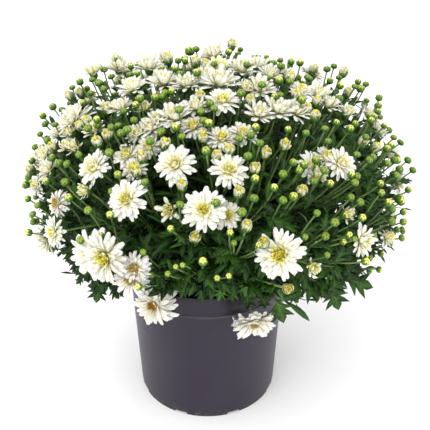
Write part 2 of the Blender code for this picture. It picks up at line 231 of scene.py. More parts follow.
@dataclass(frozen=True)
class PotPlastic(Finish):
    """Matt moulded plastic with a fine grain, faint scuffs, a painted highlight round the ridge's top and a
    dusty foot.
    """

    dark: Colour = (0.0150, 0.0095, 0.0240)
    worn: Colour = (0.023, 0.017, 0.032)
    dust: Colour = (0.085, 0.078, 0.072)
    dust_level: float = 0.016
    # Painted highlight: the next colour is laid in a thin band round the ridge's top, where the light catches
    # it.
    ridge_highlight: Colour = (0.120, 0.108, 0.135)
    highlight_level: float = 0.1681
    highlight_reach: float = 0.0007

    def wire(self, nodes: Nodes) -> dict:
        """Wires the plastic, its scuffs, the painted highlight round the ridge's top and the dust.

        Args:
            nodes: the material's tree.

        Returns:
            What the shader's inputs get, by name.
        """
        height = nodes.level()
        patches = nodes.noise(9.0, (1.0, 1.0, 0.6))
        scuffs = nodes.step(nodes.noise(60.0, (1.0, 1.0, 4.0), 6.0), 0.56, 0.80)
        low = nodes.rest(nodes.step(height, 0.0, self.dust_level))
        specks = nodes.step(nodes.noise(240.0, detail=5.0), 0.45, 0.75)
        colour = nodes.blend(nodes.step(patches, 0.30, 0.75), self.dark, self.worn)
        colour = nodes.blend(nodes.times(scuffs, 0.35), colour, self.worn)
        colour = nodes.blend(nodes.times(low, specks), colour, self.dust)
        # Painted highlight: a thin band at the ridge's top blends, in patches, towards the lighter colour.
        off = nodes.math("ABSOLUTE", nodes.math("SUBTRACT", height, self.highlight_level))
        near = nodes.rest(nodes.step(nodes.math("DIVIDE", off, self.highlight_reach), 0.5, 1.2))
        colour = nodes.blend(nodes.times(near, nodes.step(patches, 0.15, 0.55)), colour, self.ridge_highlight)
        grain = nodes.bump(nodes.noise(1500.0, detail=2.0), 0.25, 0.00012)
        return {
            "Base Color": colour,
            "Roughness": nodes.between(scuffs, self.roughness, self.roughness + 0.16),
            "Normal": nodes.bump(nodes.noise(14.0), 0.25, 0.0008, grain),
        }


@dataclass(frozen=True)
class CompostFinish(Finish):
    """Damp peat with brown fibres and pale grains."""

    dark: Colour = (0.016, 0.010, 0.007)
    brown: Colour = (0.075, 0.044, 0.024)
    pale: Colour = (0.34, 0.29, 0.22)

    def wire(self, nodes: Nodes) -> dict:
        """Wires the peat's two browns, its pale grains and its crumbly relief.

        Args:
            nodes: the material's tree.

        Returns:
            What the shader's inputs get, by name.
        """
        clods = nodes.noise(170.0, detail=6.0)
        grains = nodes.step(nodes.noise(620.0, detail=3.0), 0.66, 0.72)
        colour = nodes.blend(nodes.step(clods, 0.35, 0.70), self.dark, self.brown)
        return {
            "Base Color": nodes.blend(nodes.times(grains, 0.6), colour, self.pale),
            "Normal": nodes.bump(clods, 0.9, 0.0016),
        }


@dataclass(frozen=True)
class Bark(Finish):
    """Brown-green bark with ridges along the stem."""

    brown: Colour = (0.105, 0.068, 0.032)
    green: Colour = (0.115, 0.135, 0.045)

    def wire(self, nodes: Nodes) -> dict:
        """Wires the bark's colours and its upright ridges.

        Args:
            nodes: the material's tree.

        Returns:
            What the shader's inputs get, by name.
        """
        ridges = nodes.noise(230.0, (1.0, 1.0, 0.15), 5.0)
        return {
            "Base Color": nodes.blend(nodes.step(ridges, 0.35, 0.7), self.brown, self.green),
            "Normal": nodes.bump(ridges, 0.8, 0.0012),
        }


@dataclass(frozen=True)
class StemFinish(Finish):
    """A ribbed green stem that turns woody and olive lower down."""

    fresh: Colour = (0.230, 0.330, 0.100)
    olive: Colour = (0.085, 0.155, 0.035)
    woody: Colour = (0.130, 0.120, 0.050)
    woody_level: float = 0.235
    woody_fade: float = 0.05

    def wire(self, nodes: Nodes) -> dict:
        """Wires the greens, the woody foot and fine ribs.

        Args:
            nodes: the material's tree.

        Returns:
            What the shader's inputs get, by name.
        """
        height = nodes.level()
        ribs = nodes.noise(900.0, (1.0, 1.0, 0.08), 3.0)
        green = nodes.blend(nodes.step(nodes.noise(28.0), 0.3, 0.7), self.olive, self.fresh)
        foot = nodes.rest(nodes.step(height, self.woody_level - self.woody_fade, self.woody_level))
        colour = nodes.blend(nodes.times(foot, 0.8), green, self.woody)
        return {
            "Base Color": nodes.blend(nodes.times(ribs, 0.35), colour, self.olive),
            "Normal": nodes.bump(ribs, 0.5, 0.0003),
        }


@dataclass(frozen=True)
class LeafFinish(Finish):
    """A dark lobed leaf: lighter veins, patchy green above and greyer green below."""

    dark: Colour = (0.0040, 0.0165, 0.0030)
    bright: Colour = (0.056, 0.190, 0.009)
    vein: Colour = (0.110, 0.240, 0.040)
    below: Colour = (0.050, 0.105, 0.040)
    side_veins: float = 17.0
    vein_slant: float = 0.16

    def wire(self, nodes: Nodes) -> dict:
        """Wires the leaf's greens by its tone, partly its own and partly painted light and shade, its veins
        and its underside.

        Args:
            nodes: the material's tree.

        Returns:
            What the shader's inputs get, by name.
        """
        side = nodes.math("ABSOLUTE", nodes.attribute("across"))
        rib = nodes.rest(nodes.step(side, 0.02, 0.11))
        slant = nodes.math("SUBTRACT", nodes.attribute("along"), nodes.times(side, self.vein_slant))
        wave = nodes.math("ABSOLUTE", nodes.math("SINE", nodes.times(slant, self.side_veins)))
        branches = nodes.rest(nodes.step(wave, 0.05, 0.22))
        veins = nodes.math("MAXIMUM", rib, nodes.times(branches, 0.55))
        patches = nodes.step(nodes.noise(55.0), 0.35, 0.70)
        # The tone attribute is the leaf's own tone, with painted light and shade mixed in where the plant
        # sets it.
        tone = nodes.plus(patches, 0.35, nodes.times(nodes.attribute("tone"), 0.65))
        top = nodes.blend(tone, self.dark, self.bright)
        skin = nodes.blend(nodes.attribute("under"), top, self.below)
        fine = nodes.bump(nodes.noise(700.0, detail=3.0), 0.35, 0.0003)
        return {
            "Base Color": nodes.blend(nodes.times(veins, 0.55), skin, self.vein),
            "Normal": nodes.bump(veins, 0.6, 0.0006, fine),
            "Roughness": nodes.between(patches, self.roughness, self.roughness + 0.14),
        }


@dataclass(frozen=True)
class BudFinish(Finish):
    """Green bracts that pale towards the bud's tip, with cream petals where it opens."""

    deep: Colour = (0.020, 0.064, 0.006)
    green: Colour = (0.060, 0.150, 0.011)
    tip: Colour = (0.270, 0.350, 0.030)
    cream: Colour = (0.880, 0.800, 0.200)
    speck: Colour = (0.420, 0.330, 0.030)

    def wire(self, nodes: Nodes) -> dict:
        """Wires the bracts by height and by the bud's own ripeness.

        Args:
            nodes: the material's tree.

        Returns:
            What the shader's inputs get, by name.
        """
        between = nodes.attribute("across")
        ripe = nodes.step(nodes.attribute("tone"), 0.40, 0.85)
        mottle = nodes.noise(620.0, detail=3.0)
        along = nodes.plus(nodes.math("SUBTRACT", mottle, 0.5), 0.35, nodes.attribute("along"))
        body = nodes.blend(nodes.step(along, 0.05, 0.60), self.deep, self.green)
        body = nodes.blend(nodes.step(nodes.plus(between, 0.60, along), 0.95, 1.45), body, self.tip)
        crown = nodes.times(nodes.step(nodes.plus(between, 0.20, along), 1.00, 1.12), ripe)
        open_top = nodes.blend(nodes.step(mottle, 0.60, 0.72), self.cream, self.speck)
        return {"Base Color": nodes.blend(crown, body, open_top), "Normal": nodes.bump(mottle, 0.4, 0.0003)}


@dataclass(frozen=True)
class PetalFinish(Finish):
    """A petal: white, creamier and yellower towards its foot and in the inner rows, with fine veins."""

    white: Colour = (0.965, 0.950, 0.790)
    cream: Colour = (0.960, 0.910, 0.450)
    yellow: Colour = (0.920, 0.820, 0.120)
    glow: float = 0.50
    glow_depth: float = 0.0030
    glow_colour: Colour = (1.0, 0.88, 0.45)
    veins: float = 15.0

    def wire(self, nodes: Nodes) -> dict:
        """Wires the petal's colours by its row and its length, and its veins.

        Args:
            nodes: the material's tree.

        Returns:
            What the shader's inputs get, by name.
        """
        rank = nodes.attribute("rank")
        near = nodes.rest(nodes.step(nodes.attribute("along"), 0.0, 0.75))
        warm = nodes.plus(nodes.step(rank, 0.15, 0.95), 0.80, nodes.times(near, 0.75))
        patches = nodes.step(nodes.noise(120.0), 0.45, 0.8)
        warm = nodes.math("MINIMUM", nodes.plus(patches, 0.10, warm), 1.0)
        colour = nodes.blend(warm, self.white, self.cream)
        deep = nodes.times(nodes.times(near, nodes.step(rank, 0.10, 0.9)), 0.8)
        lines = nodes.math("SINE", nodes.times(nodes.attribute("across"), self.veins))
        return {
            "Base Color": nodes.blend(deep, colour, self.yellow),
            "Normal": nodes.bump(nodes.plus(lines, 0.5, 0.5), 0.30, 0.00030),
            "Subsurface Weight": self.glow,
            "Subsurface Radius": self.glow_colour,
            "Subsurface Scale": self.glow_depth,
        }


@dataclass(frozen=True)
class FloretFinish(Finish):
    """The small florets of the disc, from one colour at their feet to another at their tips."""

    foot: Colour = (0.960, 0.900, 0.340)
    tip: Colour = (0.970, 0.880, 0.110)

    def wire(self, nodes: Nodes) -> dict:
        """Wires the florets' two colours and a grainy relief.

        Args:
            nodes: the material's tree.

        Returns:
            What the shader's inputs get, by name.
        """
        grain = nodes.noise(1300.0, detail=2.0)
        share = nodes.step(nodes.plus(grain, 0.5, nodes.attribute("along")), 0.3, 1.0)
        colour = nodes.blend(share, self.foot, self.tip)
        return {"Base Color": colour, "Normal": nodes.bump(grain, 0.6, 0.0004)}


@dataclass(frozen=True)
class FloorFinish(Finish):
    """A pale matt floor with the faintest unevenness."""

    pale: Colour = (0.93, 0.93, 0.93)
    shade: Colour = (0.90, 0.90, 0.90)

    def wire(self, nodes: Nodes) -> dict:
        """Wires two near-white tones."""
        return {"Base Color": nodes.blend(nodes.noise(1.5), self.pale, self.shade)}


POT_PLASTIC = PotPlastic("pot_plastic", 0.40, 0.36)
COMPOST = CompostFinish("peat_compost", 0.95, 0.2)
BARK = Bark("crown_bark", 0.85, 0.3)
STEM_GREEN = StemFinish("stem_green", 0.55)
LEAF_GREEN = LeafFinish("leaf_green", 0.46, 0.30)
BUD_GREEN = BudFinish("bud_green", 0.40, 0.35)
PETAL_WHITE = PetalFinish("petal_white", 0.62, 0.25)
PETAL_FRESH = PetalFinish(
    "petal_fresh", 0.60, 0.2, white=(0.97, 0.95, 0.56), cream=(0.97, 0.91, 0.32), yellow=(0.95, 0.84, 0.10),
    glow=0.7,
)
PETAL_FADED = PetalFinish(
    "petal_faded", 0.75, 0.15, white=(0.91, 0.88, 0.76), cream=(0.87, 0.80, 0.56), yellow=(0.66, 0.50, 0.20)
)
FLORET_YELLOW = FloretFinish("floret_yellow", 0.60, 0.3)
FLORET_TAN = FloretFinish("floret_tan", 0.80, 0.2, foot=(0.45, 0.30, 0.060), tip=(0.62, 0.46, 0.110))
FLORET_BROWN = FloretFinish("floret_brown", 0.80, 0.2, foot=(0.15, 0.065, 0.010), tip=(0.50, 0.27, 0.022))
FLOOR_PALE = FloorFinish("floor_pale", 0.9, 0.1)


class Workbench:
    """The calls that turn points, modifiers and loose meshes into finished pieces."""

    @staticmethod
    def shape(name: str, places: list, faces: list, finishes: tuple = (), edges: tuple = (),
              **notes: list) -> Mesh:
        """A mesh from points, faces and edges.

        Args:
            name: its name.
            places: its points.
            faces: its faces, as the numbers of their points.
            finishes: the finishes of its material slots.
            edges: the edges that belong to no face.
            **notes: the numbers that it holds for its points, by name.

        Returns:
            The mesh.
        """
        mesh = bpy.data.meshes.new(name)
        mesh.from_pydata(places, edges, faces)
        for finish in finishes:
            mesh.materials.append(finish.make())
        for note, values in notes.items():
            mesh.attributes.new(note, "FLOAT", "POINT").data.foreach_set("value", values)
        return mesh

    @staticmethod
    def settle(work: BMesh, mesh: Mesh) -> Mesh:
        """Writes what was worked on into a mesh.

        Args:
            work: what was worked on, which is then freed.
            mesh: the mesh.

        Returns:
            The same mesh.
        """
        work.to_mesh(mesh)
        work.free()
        return mesh

    @staticmethod
    def add(name: str, data: ID) -> Object:
        """Adds an object to the scene.

        Args:
            name: its name.
            data: its mesh, camera or light.

        Returns:
            The object.
        """
        made = bpy.data.objects.new(name, data)
        bpy.context.scene.collection.objects.link(made)
        return made

    @staticmethod
    def flatten(made: Object) -> Object:
        """Turns an object and its modifiers into a plain mesh.

        Args:
            made: the object, whose modifiers are taken off.

        Returns:
            The same object.
        """
        bpy.context.view_layer.update()
        evaluated = made.evaluated_get(bpy.context.evaluated_depsgraph_get())
        mesh = bpy.data.meshes.new_from_object(evaluated)
        made.modifiers.clear()
        made.data = mesh
        return made

    @staticmethod
    def join(name: str, made: list) -> Object:
        """Makes one object of several.

        Args:
            name: the name that the result gets.
            made: the objects, at least one.

        Returns:
            The first object, with all their meshes.
        """
        if len(made) > 1:
            with bpy.context.temp_override(active_object=made[0], selected_editable_objects=made):
                bpy.ops.object.join()
        made[0].name = name
        made[0].data.name = name
        return made[0]

    @staticmethod
    def seat(made: Object, slot: str, replaced: str | None = None, smooth: bool = True) -> None:
        """Puts a finished piece under the model's body, shaded smooth if asked, and hides the CAD node that
        it stands for.

        Args:
            made: the piece, at the origin, with its place in its mesh.
            slot: not used.
            replaced: the CAD node that it stands for.
            smooth: whether all its faces are shaded smooth.
        """
        if smooth:
            made.data.shade_smooth()
        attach(made, BODY)
        if replaced:
            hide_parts(replaced)
        LOG.info("%s: %d faces", made.name, len(made.data.polygons))


def direction(azimuth: float, height: float) -> Vector:
    """The direction with an azimuth and a height angle in degrees."""
    a, h = math.radians(azimuth), math.radians(height)
    return Vector((math.sin(a) * math.cos(h), -math.cos(a) * math.cos(h), math.sin(h)))


def ring_points(radius: float, height: float, sides: int) -> list:
    """The points of a level ring round the Z axis."""
    turns = [2 * math.pi * i / sides for i in range(sides)]
    return [(radius * math.cos(turn), radius * math.sin(turn), height) for turn in turns]


def wall_faces(rings: int, sides: int, first: int = 0) -> list:
    """The four-sided faces between rings of points that follow each other.

    Args:
        rings: how many rings there are.
        sides: how many points a ring has.
        first: the number of the first ring's first point.

    Returns:
        The faces. They point outwards where each ring lies above the one before.
    """
    faces = []
    for start in range(first, first + (rings - 1) * sides, sides):
        for i in range(sides):
            a, b = start + i, start + (i + 1) % sides
            faces.append((a, b, b + sides, a + sides))
    return faces


@dataclass(frozen=True)
class Band:
    """One cross line of a blade: where its edge and its rib lie along it, and its half-width."""

    edge: float
    half: float
    rib: float


@dataclass(frozen=True)
class Blade:
    """A thin closed sheet of unit length along +X, such as a petal, a leaf or a bract.

    The section runs round the sheet as (across, lift) points, across from -1 to 1 and lift in lengths. The
    first half of it is the upper side. The sheet has its full thickness where its half-width is full_half or
    more. A blade with a length of its own isn't sized by the head's width.
    """

    name: str
    bands: tuple
    section: tuple
    rise: float = 0.0
    droop: float = 0.0
    fold: float = 0.0
    ripple: float = 0.0
    finish: Finish = PETAL_WHITE
    own_length: bool = False
    full_half: float = 0.125
    least_thickness: float = 0.35
    ripple_pace: float = 19.0

    def height(self, x: float, y: float) -> float:
        """How high the sheet lies at a place on it."""
        bend = self.rise * math.sin(math.pi * min(x, 1.0)) - self.droop * x * x
        return bend + self.fold * abs(y) + self.ripple * math.sin(self.ripple_pace * x) * abs(y)

    def make(self) -> Object:
        """Builds the blade, hidden, with its along, across and under values.

        Returns:
            The object that other shapes are copied from.
        """
        places, along, across = [], [], []
        for band in self.bands:
            full = min(1.0, band.half / self.full_half)
            thickness = self.least_thickness + (1 - self.least_thickness) * full
            for side, lift in self.section:
                x = band.rib + (band.edge - band.rib) * abs(side)
                y = side * band.half
                places.append((x, y, self.height(x, y) + lift * thickness))
                along.append(x)
                across.append(side)
        ring, last = len(self.section), (len(self.bands) - 1) * len(self.section)
        walls = [(b, a, d, c) for a, b, c, d in wall_faces(len(self.bands), ring)]
        faces = [tuple(range(ring)), *walls, tuple(last + i for i in reversed(range(ring)))]
        under = [0.0, *(float(i % ring >= ring // 2) for i in range(len(walls))), 0.0]
        mesh = Workbench.shape(self.name, places, faces, (self.finish,), along=along, across=across)
        mesh.attributes.new("under", "FLOAT", "FACE").data.foreach_set("value", under)
        return Pattern.of_mesh(mesh)


class Pattern:
    """The shapes that others are copied from. They are never linked to the scene."""

    made: dict = {}

    @staticmethod
    def of_mesh(mesh: Mesh) -> Object:
        """Makes a hidden object of a mesh.

        Args:
            mesh: the mesh.

        Returns:
            The object.
        """
        shape = bpy.data.objects.new(mesh.name, mesh)
        shape.hide_render = True
        shape.hide_viewport = True
        return shape

    @classmethod
    def of(cls, blade: Blade) -> Object:
        """The object of a blade, built the first time that it is asked for.

        Args:
            blade: the blade.

        Returns:
            The object.
        """
        if blade.name not in cls.made:
            cls.made[blade.name] = blade.make()
        return cls.made[blade.name]

    @staticmethod
    def collected(name: str, shapes: list) -> Collection:
        """Puts shapes in a collection that isn't part of the scene.

        Args:
            name: its name.
            shapes: the shapes.

        Returns:
            The collection.
        """
        made = bpy.data.collections.new(name)
        for shape in shapes:
            made.objects.link(shape)
        return made


def petal_bands(count: int, foot: float, widest: float, half: float, notch: float) -> tuple:
    """The cross lines of a petal with a narrow foot and a rounded, slightly notched tip.

    Args:
        count: how many lines there are.
        foot: the half-width at the foot, in lengths.
        widest: how far along the petal is widest.
        half: the half-width there.
        notch: how far the tip's middle lies behind its edges.

    Returns:
        The lines from foot to tip.
    """
    crowding, roundness, tip = 0.85, 0.93, 0.2
    bands = []
    for i in range(count):
        x = math.sin(0.5 * math.pi * i / (count - 1)) ** crowding
        if x < widest:
            share = x / widest
            width = foot + (half - foot) * share * share * (3 - 2 * share)
        else:
            share = (x - widest) / (1 - widest)
            width = half * math.sqrt(max(0.0, 1 - share * share * roundness))
        back = notch * max(0.0, (x - 1 + tip) / tip)
        bands.append(Band(x, width, x - back))
    return tuple(bands)


FINE_SECTION = (
    (-1.0, 0.0), (-0.55, 0.016), (0.0, 0.004), (0.55, 0.016), (1.0, 0.0), (0.5, -0.006), (0.0, -0.016),
    (-0.5, -0.006),
)
PLAIN_SECTION = ((-1.0, 0.0), (0.0, 0.010), (1.0, 0.0), (0.0, -0.012))
LEAF_SECTION = ((-1.0, 0.0), (0.0, 0.006), (1.0, 0.0), (0.0, -0.012))
LEAF_BANDS = (
    Band(0.00, 0.016, 0.00), Band(0.14, 0.020, 0.12), Band(0.30, 0.170, 0.18), Band(0.50, 0.400, 0.25),
    Band(0.47, 0.150, 0.35), Band(0.62, 0.250, 0.43), Band(0.85, 0.370, 0.52), Band(0.72, 0.120, 0.60),
    Band(0.80, 0.135, 0.70), Band(0.92, 0.075, 0.86), Band(1.02, 0.008, 1.02),
)
NARROW_BANDS = (
    Band(0.00, 0.020, 0.00), Band(0.25, 0.070, 0.22), Band(0.50, 0.130, 0.47), Band(0.72, 0.120, 0.70),
    Band(0.90, 0.060, 0.89), Band(1.00, 0.008, 1.00),
)

PETAL_OPEN = Blade(
    "petal_open", petal_bands(7, 0.090, 0.60, 0.165, 0.035), FINE_SECTION, rise=0.045, droop=0.05, fold=0.10
)
PETAL_CURVED = Blade(
    "petal_curved", petal_bands(7, 0.11, 0.58, 0.205, 0.030), FINE_SECTION, droop=-0.26, fold=0.18
)
PETAL_HANGING = Blade(
    "petal_hanging", petal_bands(8, 0.070, 0.60, 0.150, 0.05), FINE_SECTION, rise=0.05, droop=0.26, fold=0.22,
    ripple=0.18,
)
PLAIN_OPEN = Blade(
    "plain_petal_open", petal_bands(5, 0.10, 0.60, 0.190, 0.03), PLAIN_SECTION, rise=0.045, droop=0.05,
    fold=0.10,
)
PLAIN_CURVED = Blade(
    "plain_petal_curved", petal_bands(5, 0.12, 0.58, 0.225, 0.03), PLAIN_SECTION, droop=-0.26, fold=0.18
)
FRESH_CURVED = Blade(
    "fresh_petal", petal_bands(5, 0.14, 0.55, 0.230, 0.02), PLAIN_SECTION, droop=-0.22, fold=0.18,
    finish=PETAL_FRESH, own_length=True,
)
BRACT = Blade(
    "calyx_bract", petal_bands(4, 0.16, 0.40, 0.24, 0.0), PLAIN_SECTION, droop=-0.25, fold=0.3,
    finish=BUD_GREEN, own_length=True,
)
FLORET = Blade(
    "disc_floret", petal_bands(4, 0.10, 0.75, 0.24, 0.0), PLAIN_SECTION, droop=-0.10, fold=0.6,
    finish=FLORET_YELLOW, own_length=True,
)
LEAF_BLADE = Blade(
    "lobed_leaf", LEAF_BANDS, LEAF_SECTION, rise=0.05, droop=0.17, fold=0.24, ripple=0.12, finish=LEAF_GREEN
)
LEAF_FLAT = Blade(
    "flat_leaf", LEAF_BANDS, LEAF_SECTION, rise=0.02, droop=0.05, fold=0.12, ripple=0.20, finish=LEAF_GREEN
)
LEAF_NARROW = Blade(
    "narrow_leaf", NARROW_BANDS, LEAF_SECTION, rise=0.05, droop=0.14, fold=0.35, finish=LEAF_GREEN
)


class Tool:
    """A geometry node tree with named inputs, put on objects as a modifier."""

    def __init__(self, name: str) -> None:
        """Starts the tree with a geometry going in and out."""
        self.tree = bpy.data.node_groups.new(name, "GeometryNodeTree")
        self.nodes = Nodes(self.tree)
        self.identifiers: dict = {}
        for way in ("INPUT", "OUTPUT"):
            self.tree.interface.new_socket("Geometry", in_out=way, socket_type="NodeSocketGeometry")
        self.start = self.nodes.add("NodeGroupInput")
        self.end = self.nodes.add("NodeGroupOutput")

    def input(self, name: str, kind: str) -> NodeSocket:
        """Adds a named input.

        Args:
            name: what the input is called.
            kind: its type, such as Float, Int, Object, Collection or Material.

        Returns:
            The output in the tree that gives the input's value.
        """
        socket = self.tree.interface.new_socket(name, in_out="INPUT", socket_type=f"NodeSocket{kind}")
        self.identifiers[name] = socket.identifier
        return self.start.outputs[name]

    def named(self, name: str, kind: str) -> NodeSocket:
        """A value of a type such as FLOAT, INT or FLOAT_VECTOR that each point holds by name."""
        return self.nodes.add("GeometryNodeInputNamedAttribute", {"Name": name}, data_type=kind).outputs[0]

    def dressed(self, geometry: NodeSocket, look: NodeSocket) -> NodeSocket:
        """The geometry made real and given its material."""
        real = self.nodes.add("GeometryNodeRealizeInstances", {"Geometry": geometry}).outputs[0]
        return self.nodes.add("GeometryNodeSetMaterial", {"Geometry": real, "Material": look}).outputs[0]

    def put_on(self, made: Object, values: dict) -> None:
        """Adds the tree to an object as a modifier and sets its inputs.

        Args:
            made: the object that gets the modifier.
            values: the inputs' values by name.
        """
        modifier = made.modifiers.new(self.tree.name, "NODES")
        modifier.node_group = self.tree
        for name, value in values.items():
            modifier[self.identifiers[name]] = value


@dataclass(frozen=True)
class Whorl:
    """One set of petals, florets or bracts on a golden-angle spiral.

    Every pair is the value at the outermost and at the innermost copy. The foot is the distance from the
    head's axis and the rise the height above its seat, both in millimetres. A lift is counted from the
    flower's plane, in degrees. A length is in millimetres for a blade with a length of its own, and else a
    share of the head's petal length. Plain holds the blade and the count of a head without fine petals.
    """

    blade: Blade
    count: int
    foot: tuple
    rise: tuple
    lift: tuple
    length: tuple
    width: float = 1.0
    rank: tuple = (0.0, 1.0)
    loose: float = 5.0
    uneven: float = 0.10
    finish: Finish | None = None
    plain: tuple | None = None

    def simple(self) -> "Whorl":
        """The whorl as a head without fine petals has it."""
        return replace(self, blade=self.plain[0], count=self.plain[1]) if self.plain else self


class WhorlTool(Tool):
    """Sets copies of a blade on a spiral round the local Z axis, from the outside in."""

    pairs = ("Foot", "Rise", "Lift", "Length", "Rank")
    turn_share, lift_share, roll_share = 1.2, 1.0, 1.8
    seed_step = 101.0

    def __init__(self) -> None:
        """Builds the tree."""
        super().__init__("petal_whorl")
        nodes = self.nodes
        shape, count = self.input("Shape", "Object"), self.input("Count", "Int")
        ends = {}
        for name in self.pairs:
            ends[name] = [self.input(f"{name} {end}", "Float") for end in ("Outer", "Inner")]
        width, loose = self.input("Width", "Float"), self.input("Loose", "Float")
        uneven, seed = self.input("Uneven", "Float"), self.input("Seed", "Int")
        look = self.input("Look", "Material")
        index = nodes.add("GeometryNodeInputIndex").outputs[0]
        share = nodes.math("DIVIDE", index, nodes.math("MAXIMUM", nodes.math("SUBTRACT", count, 1.0), 1.0))
        value = {name: nodes.between(share, *ends[name]) for name in self.pairs}
        turn = nodes.plus(index, GOLDEN_ANGLE, self.random(1, seed, loose, self.turn_share))
        lift = nodes.math("ADD", value["Lift"], self.random(2, seed, loose, self.lift_share))
        roll = self.random(3, seed, loose, self.roll_share)
        length = nodes.times(value["Length"], nodes.math("ADD", 1.0, self.random(4, seed, uneven, 1.0)))
        wider = nodes.math("ADD", 1.0, self.random(5, seed, uneven, 1.0))
        across = nodes.times(nodes.times(length, width), wider)
        east = nodes.times(value["Foot"], nodes.math("COSINE", turn))
        north = nodes.times(value["Foot"], nodes.math("SINE", turn))
        points = nodes.add("GeometryNodePoints", {"Count": count}).outputs[0]
        place = nodes.vector(east, north, value["Rise"])
        moved = nodes.add("GeometryNodeSetPosition", {"Geometry": points, "Position": place}).outputs[0]
        rank = {"Geometry": moved, "Name": "rank", "Value": value["Rank"]}
        copies = nodes.add("GeometryNodeInstanceOnPoints", {
            "Points": nodes.add("GeometryNodeStoreNamedAttribute", rank).outputs[0],
            "Instance": nodes.add("GeometryNodeObjectInfo", {"Object": shape}).outputs["Geometry"],
            "Rotation": nodes.vector(roll, nodes.times(lift, -1.0), turn),
            "Scale": nodes.vector(length, across, length),
        })
        both = nodes.add("GeometryNodeJoinGeometry", {0: self.start.outputs["Geometry"]})
        nodes.feed(both, 0, self.dressed(copies.outputs[0], look))
        nodes.feed(self.end, 0, both.outputs[0])

    def random(self, number: int, seed: object, spread: object, factor: float) -> NodeSocket:
        """A random number either side of 0.

        Args:
            number: sets this draw apart from the others.
            seed: the whorl's seed.
            spread: the most that it is away from 0.
            factor: how much that is multiplied by.

        Returns:
            The number, one for each copy.
        """
        nodes = self.nodes
        most = nodes.times(spread, factor)
        own_seed = nodes.math("ADD", seed, self.seed_step * number)
        values = {2: nodes.times(most, -1.0), 3: most, 8: own_seed}
        return nodes.add("FunctionNodeRandomValue", values, data_type="FLOAT").outputs[1]

    def grow(self, made: Object, whorl: Whorl, petal: float, seed: int) -> None:
        """Adds one whorl to an object as a modifier.

        Args:
            made: the object that the whorl grows on.
            whorl: what is set round it.
            petal: the length of a petal of the head.
            seed: the seed of its small differences.
        """
        unit = MILLIMETRE if whorl.blade.own_length else petal
        scales = (MILLIMETRE, MILLIMETRE, math.radians(1.0), unit, 1.0)
        values = {
            "Shape": Pattern.of(whorl.blade), "Count": whorl.count, "Width": whorl.width,
            "Loose": math.radians(whorl.loose), "Uneven": whorl.uneven, "Seed": seed,
            "Look": (whorl.finish or whorl.blade.finish).make(),
        }
        ends = (whorl.foot, whorl.rise, whorl.lift, whorl.length, whorl.rank)
        for name, pair, scale in zip(self.pairs, ends, scales):
            values[name + " Outer"], values[name + " Inner"] = pair[0] * scale, pair[1] * scale
        self.put_on(made, values)


class ScatterTool(Tool):
    """Copies the shapes of a collection to a mesh's points, which say how each is turned and sized."""

    def __init__(self) -> None:
        """Builds the tree."""
        super().__init__("scatter")
        shapes, look = self.input("Shapes", "Collection"), self.input("Look", "Material")
        values = {"Collection": shapes, "Separate Children": True, "Reset Children": True}
        copies = self.nodes.add("GeometryNodeInstanceOnPoints", {
            "Points": self.start.outputs["Geometry"],
            "Instance": self.nodes.add("GeometryNodeCollectionInfo", values).outputs[0],
            "Pick Instance": True,
            "Instance Index": self.named("kind", "INT"),
            "Rotation": self.named("turn", "FLOAT_VECTOR"),
            "Scale": self.named("size", "FLOAT_VECTOR"),
        })
        self.nodes.feed(self.end, 0, self.dressed(copies.outputs[0], look))

    def spread(self, name: str, copies: list, shapes: Collection, finish: Finish) -> Object:
        """Makes one plain mesh of many copies.

        Args:
            name: the new object's name.
            copies: Copy values, one for each.
            shapes: the collection that they are copied from.
            finish: the finish that all of them get.

        Returns:
            The finished object at the origin.
        """
        tones = [copy.tone for copy in copies]
        mesh = Workbench.shape(name, [tuple(copy.place) for copy in copies], [], tone=tones)
        turns = [tuple(copy.turn.to_euler()) for copy in copies]
        for note, values in (("turn", turns), ("size", [tuple(copy.size) for copy in copies])):
            flat = np.array(values, np.float32).ravel()
            mesh.attributes.new(note, "FLOAT_VECTOR", "POINT").data.foreach_set("vector", flat)
        mesh.attributes.new("kind", "INT", "POINT").data.foreach_set("value", [copy.kind for copy in copies])
        made = Workbench.add(name, mesh)
        self.put_on(made, {"Shapes": shapes, "Look": finish.make()})
        return Workbench.flatten(made)


class StalkTool(Tool):
    """Gives the lines of a mesh a round body whose radius is the mesh's thick value."""

    def __init__(self) -> None:
        """Builds the tree."""
        super().__init__("stalks")
        sides, look = self.input("Sides", "Int"), self.input("Look", "Material")
        lines = self.nodes.add("GeometryNodeMeshToCurve", {0: self.start.outputs["Geometry"]})
        ring = {"Resolution": sides, "Radius": 1.0}
        body = self.nodes.add("GeometryNodeCurveToMesh", {
            "Curve": lines.outputs[0],
            "Profile Curve": self.nodes.add("GeometryNodeCurvePrimitiveCircle", ring).outputs[0],
            "Scale": self.named("thick", "FLOAT"),
            "Fill Caps": True,
        })
        self.nodes.feed(self.end, 0, self.dressed(body.outputs[0], look))

    def draw(self, name: str, runs: list, sides: int, finish: Finish) -> Object:
        """Makes one plain mesh of many round stalks.

        Args:
            name: the new object's name.
            runs: Run values, one for each stalk.
            sides: how many sides a stalk has.
            finish: the stalks' finish.

        Returns:
            The finished object at the origin.
        """
        places, edges, thick = [], [], []
        for run in runs:
            first, count = len(places), len(run.points)
            places += [tuple(point) for point in run.points]
            edges += [(first + i, first + i + 1) for i in range(count - 1)]
            thick += [run.foot + (run.tip - run.foot) * i / (count - 1) for i in range(count)]
        made = Workbench.add(name, Workbench.shape(name, places, [], edges=edges, thick=thick))
        self.put_on(made, {"Sides": sides, "Look": finish.make()})
        made = Workbench.flatten(made)
        work = bmesh.new()
        work.from_mesh(made.data)
        bmesh.ops.remove_doubles(work, verts=work.verts, dist=WELD)
        bmesh.ops.recalc_face_normals(work, faces=work.faces)
        Workbench.settle(work, made.data)
        return made


@dataclass
class Copy:
    """One copied shape: its place, its turn, its size along each axis, which shape it is and its tone."""

    place: Vector
    turn: Matrix
    size: tuple
    kind: int = 0
    tone: float = 0.5


@dataclass
class Run:
    """One stalk: its middle line and its radius at the foot and at the tip."""

    points: list
    foot: float
    tip: float


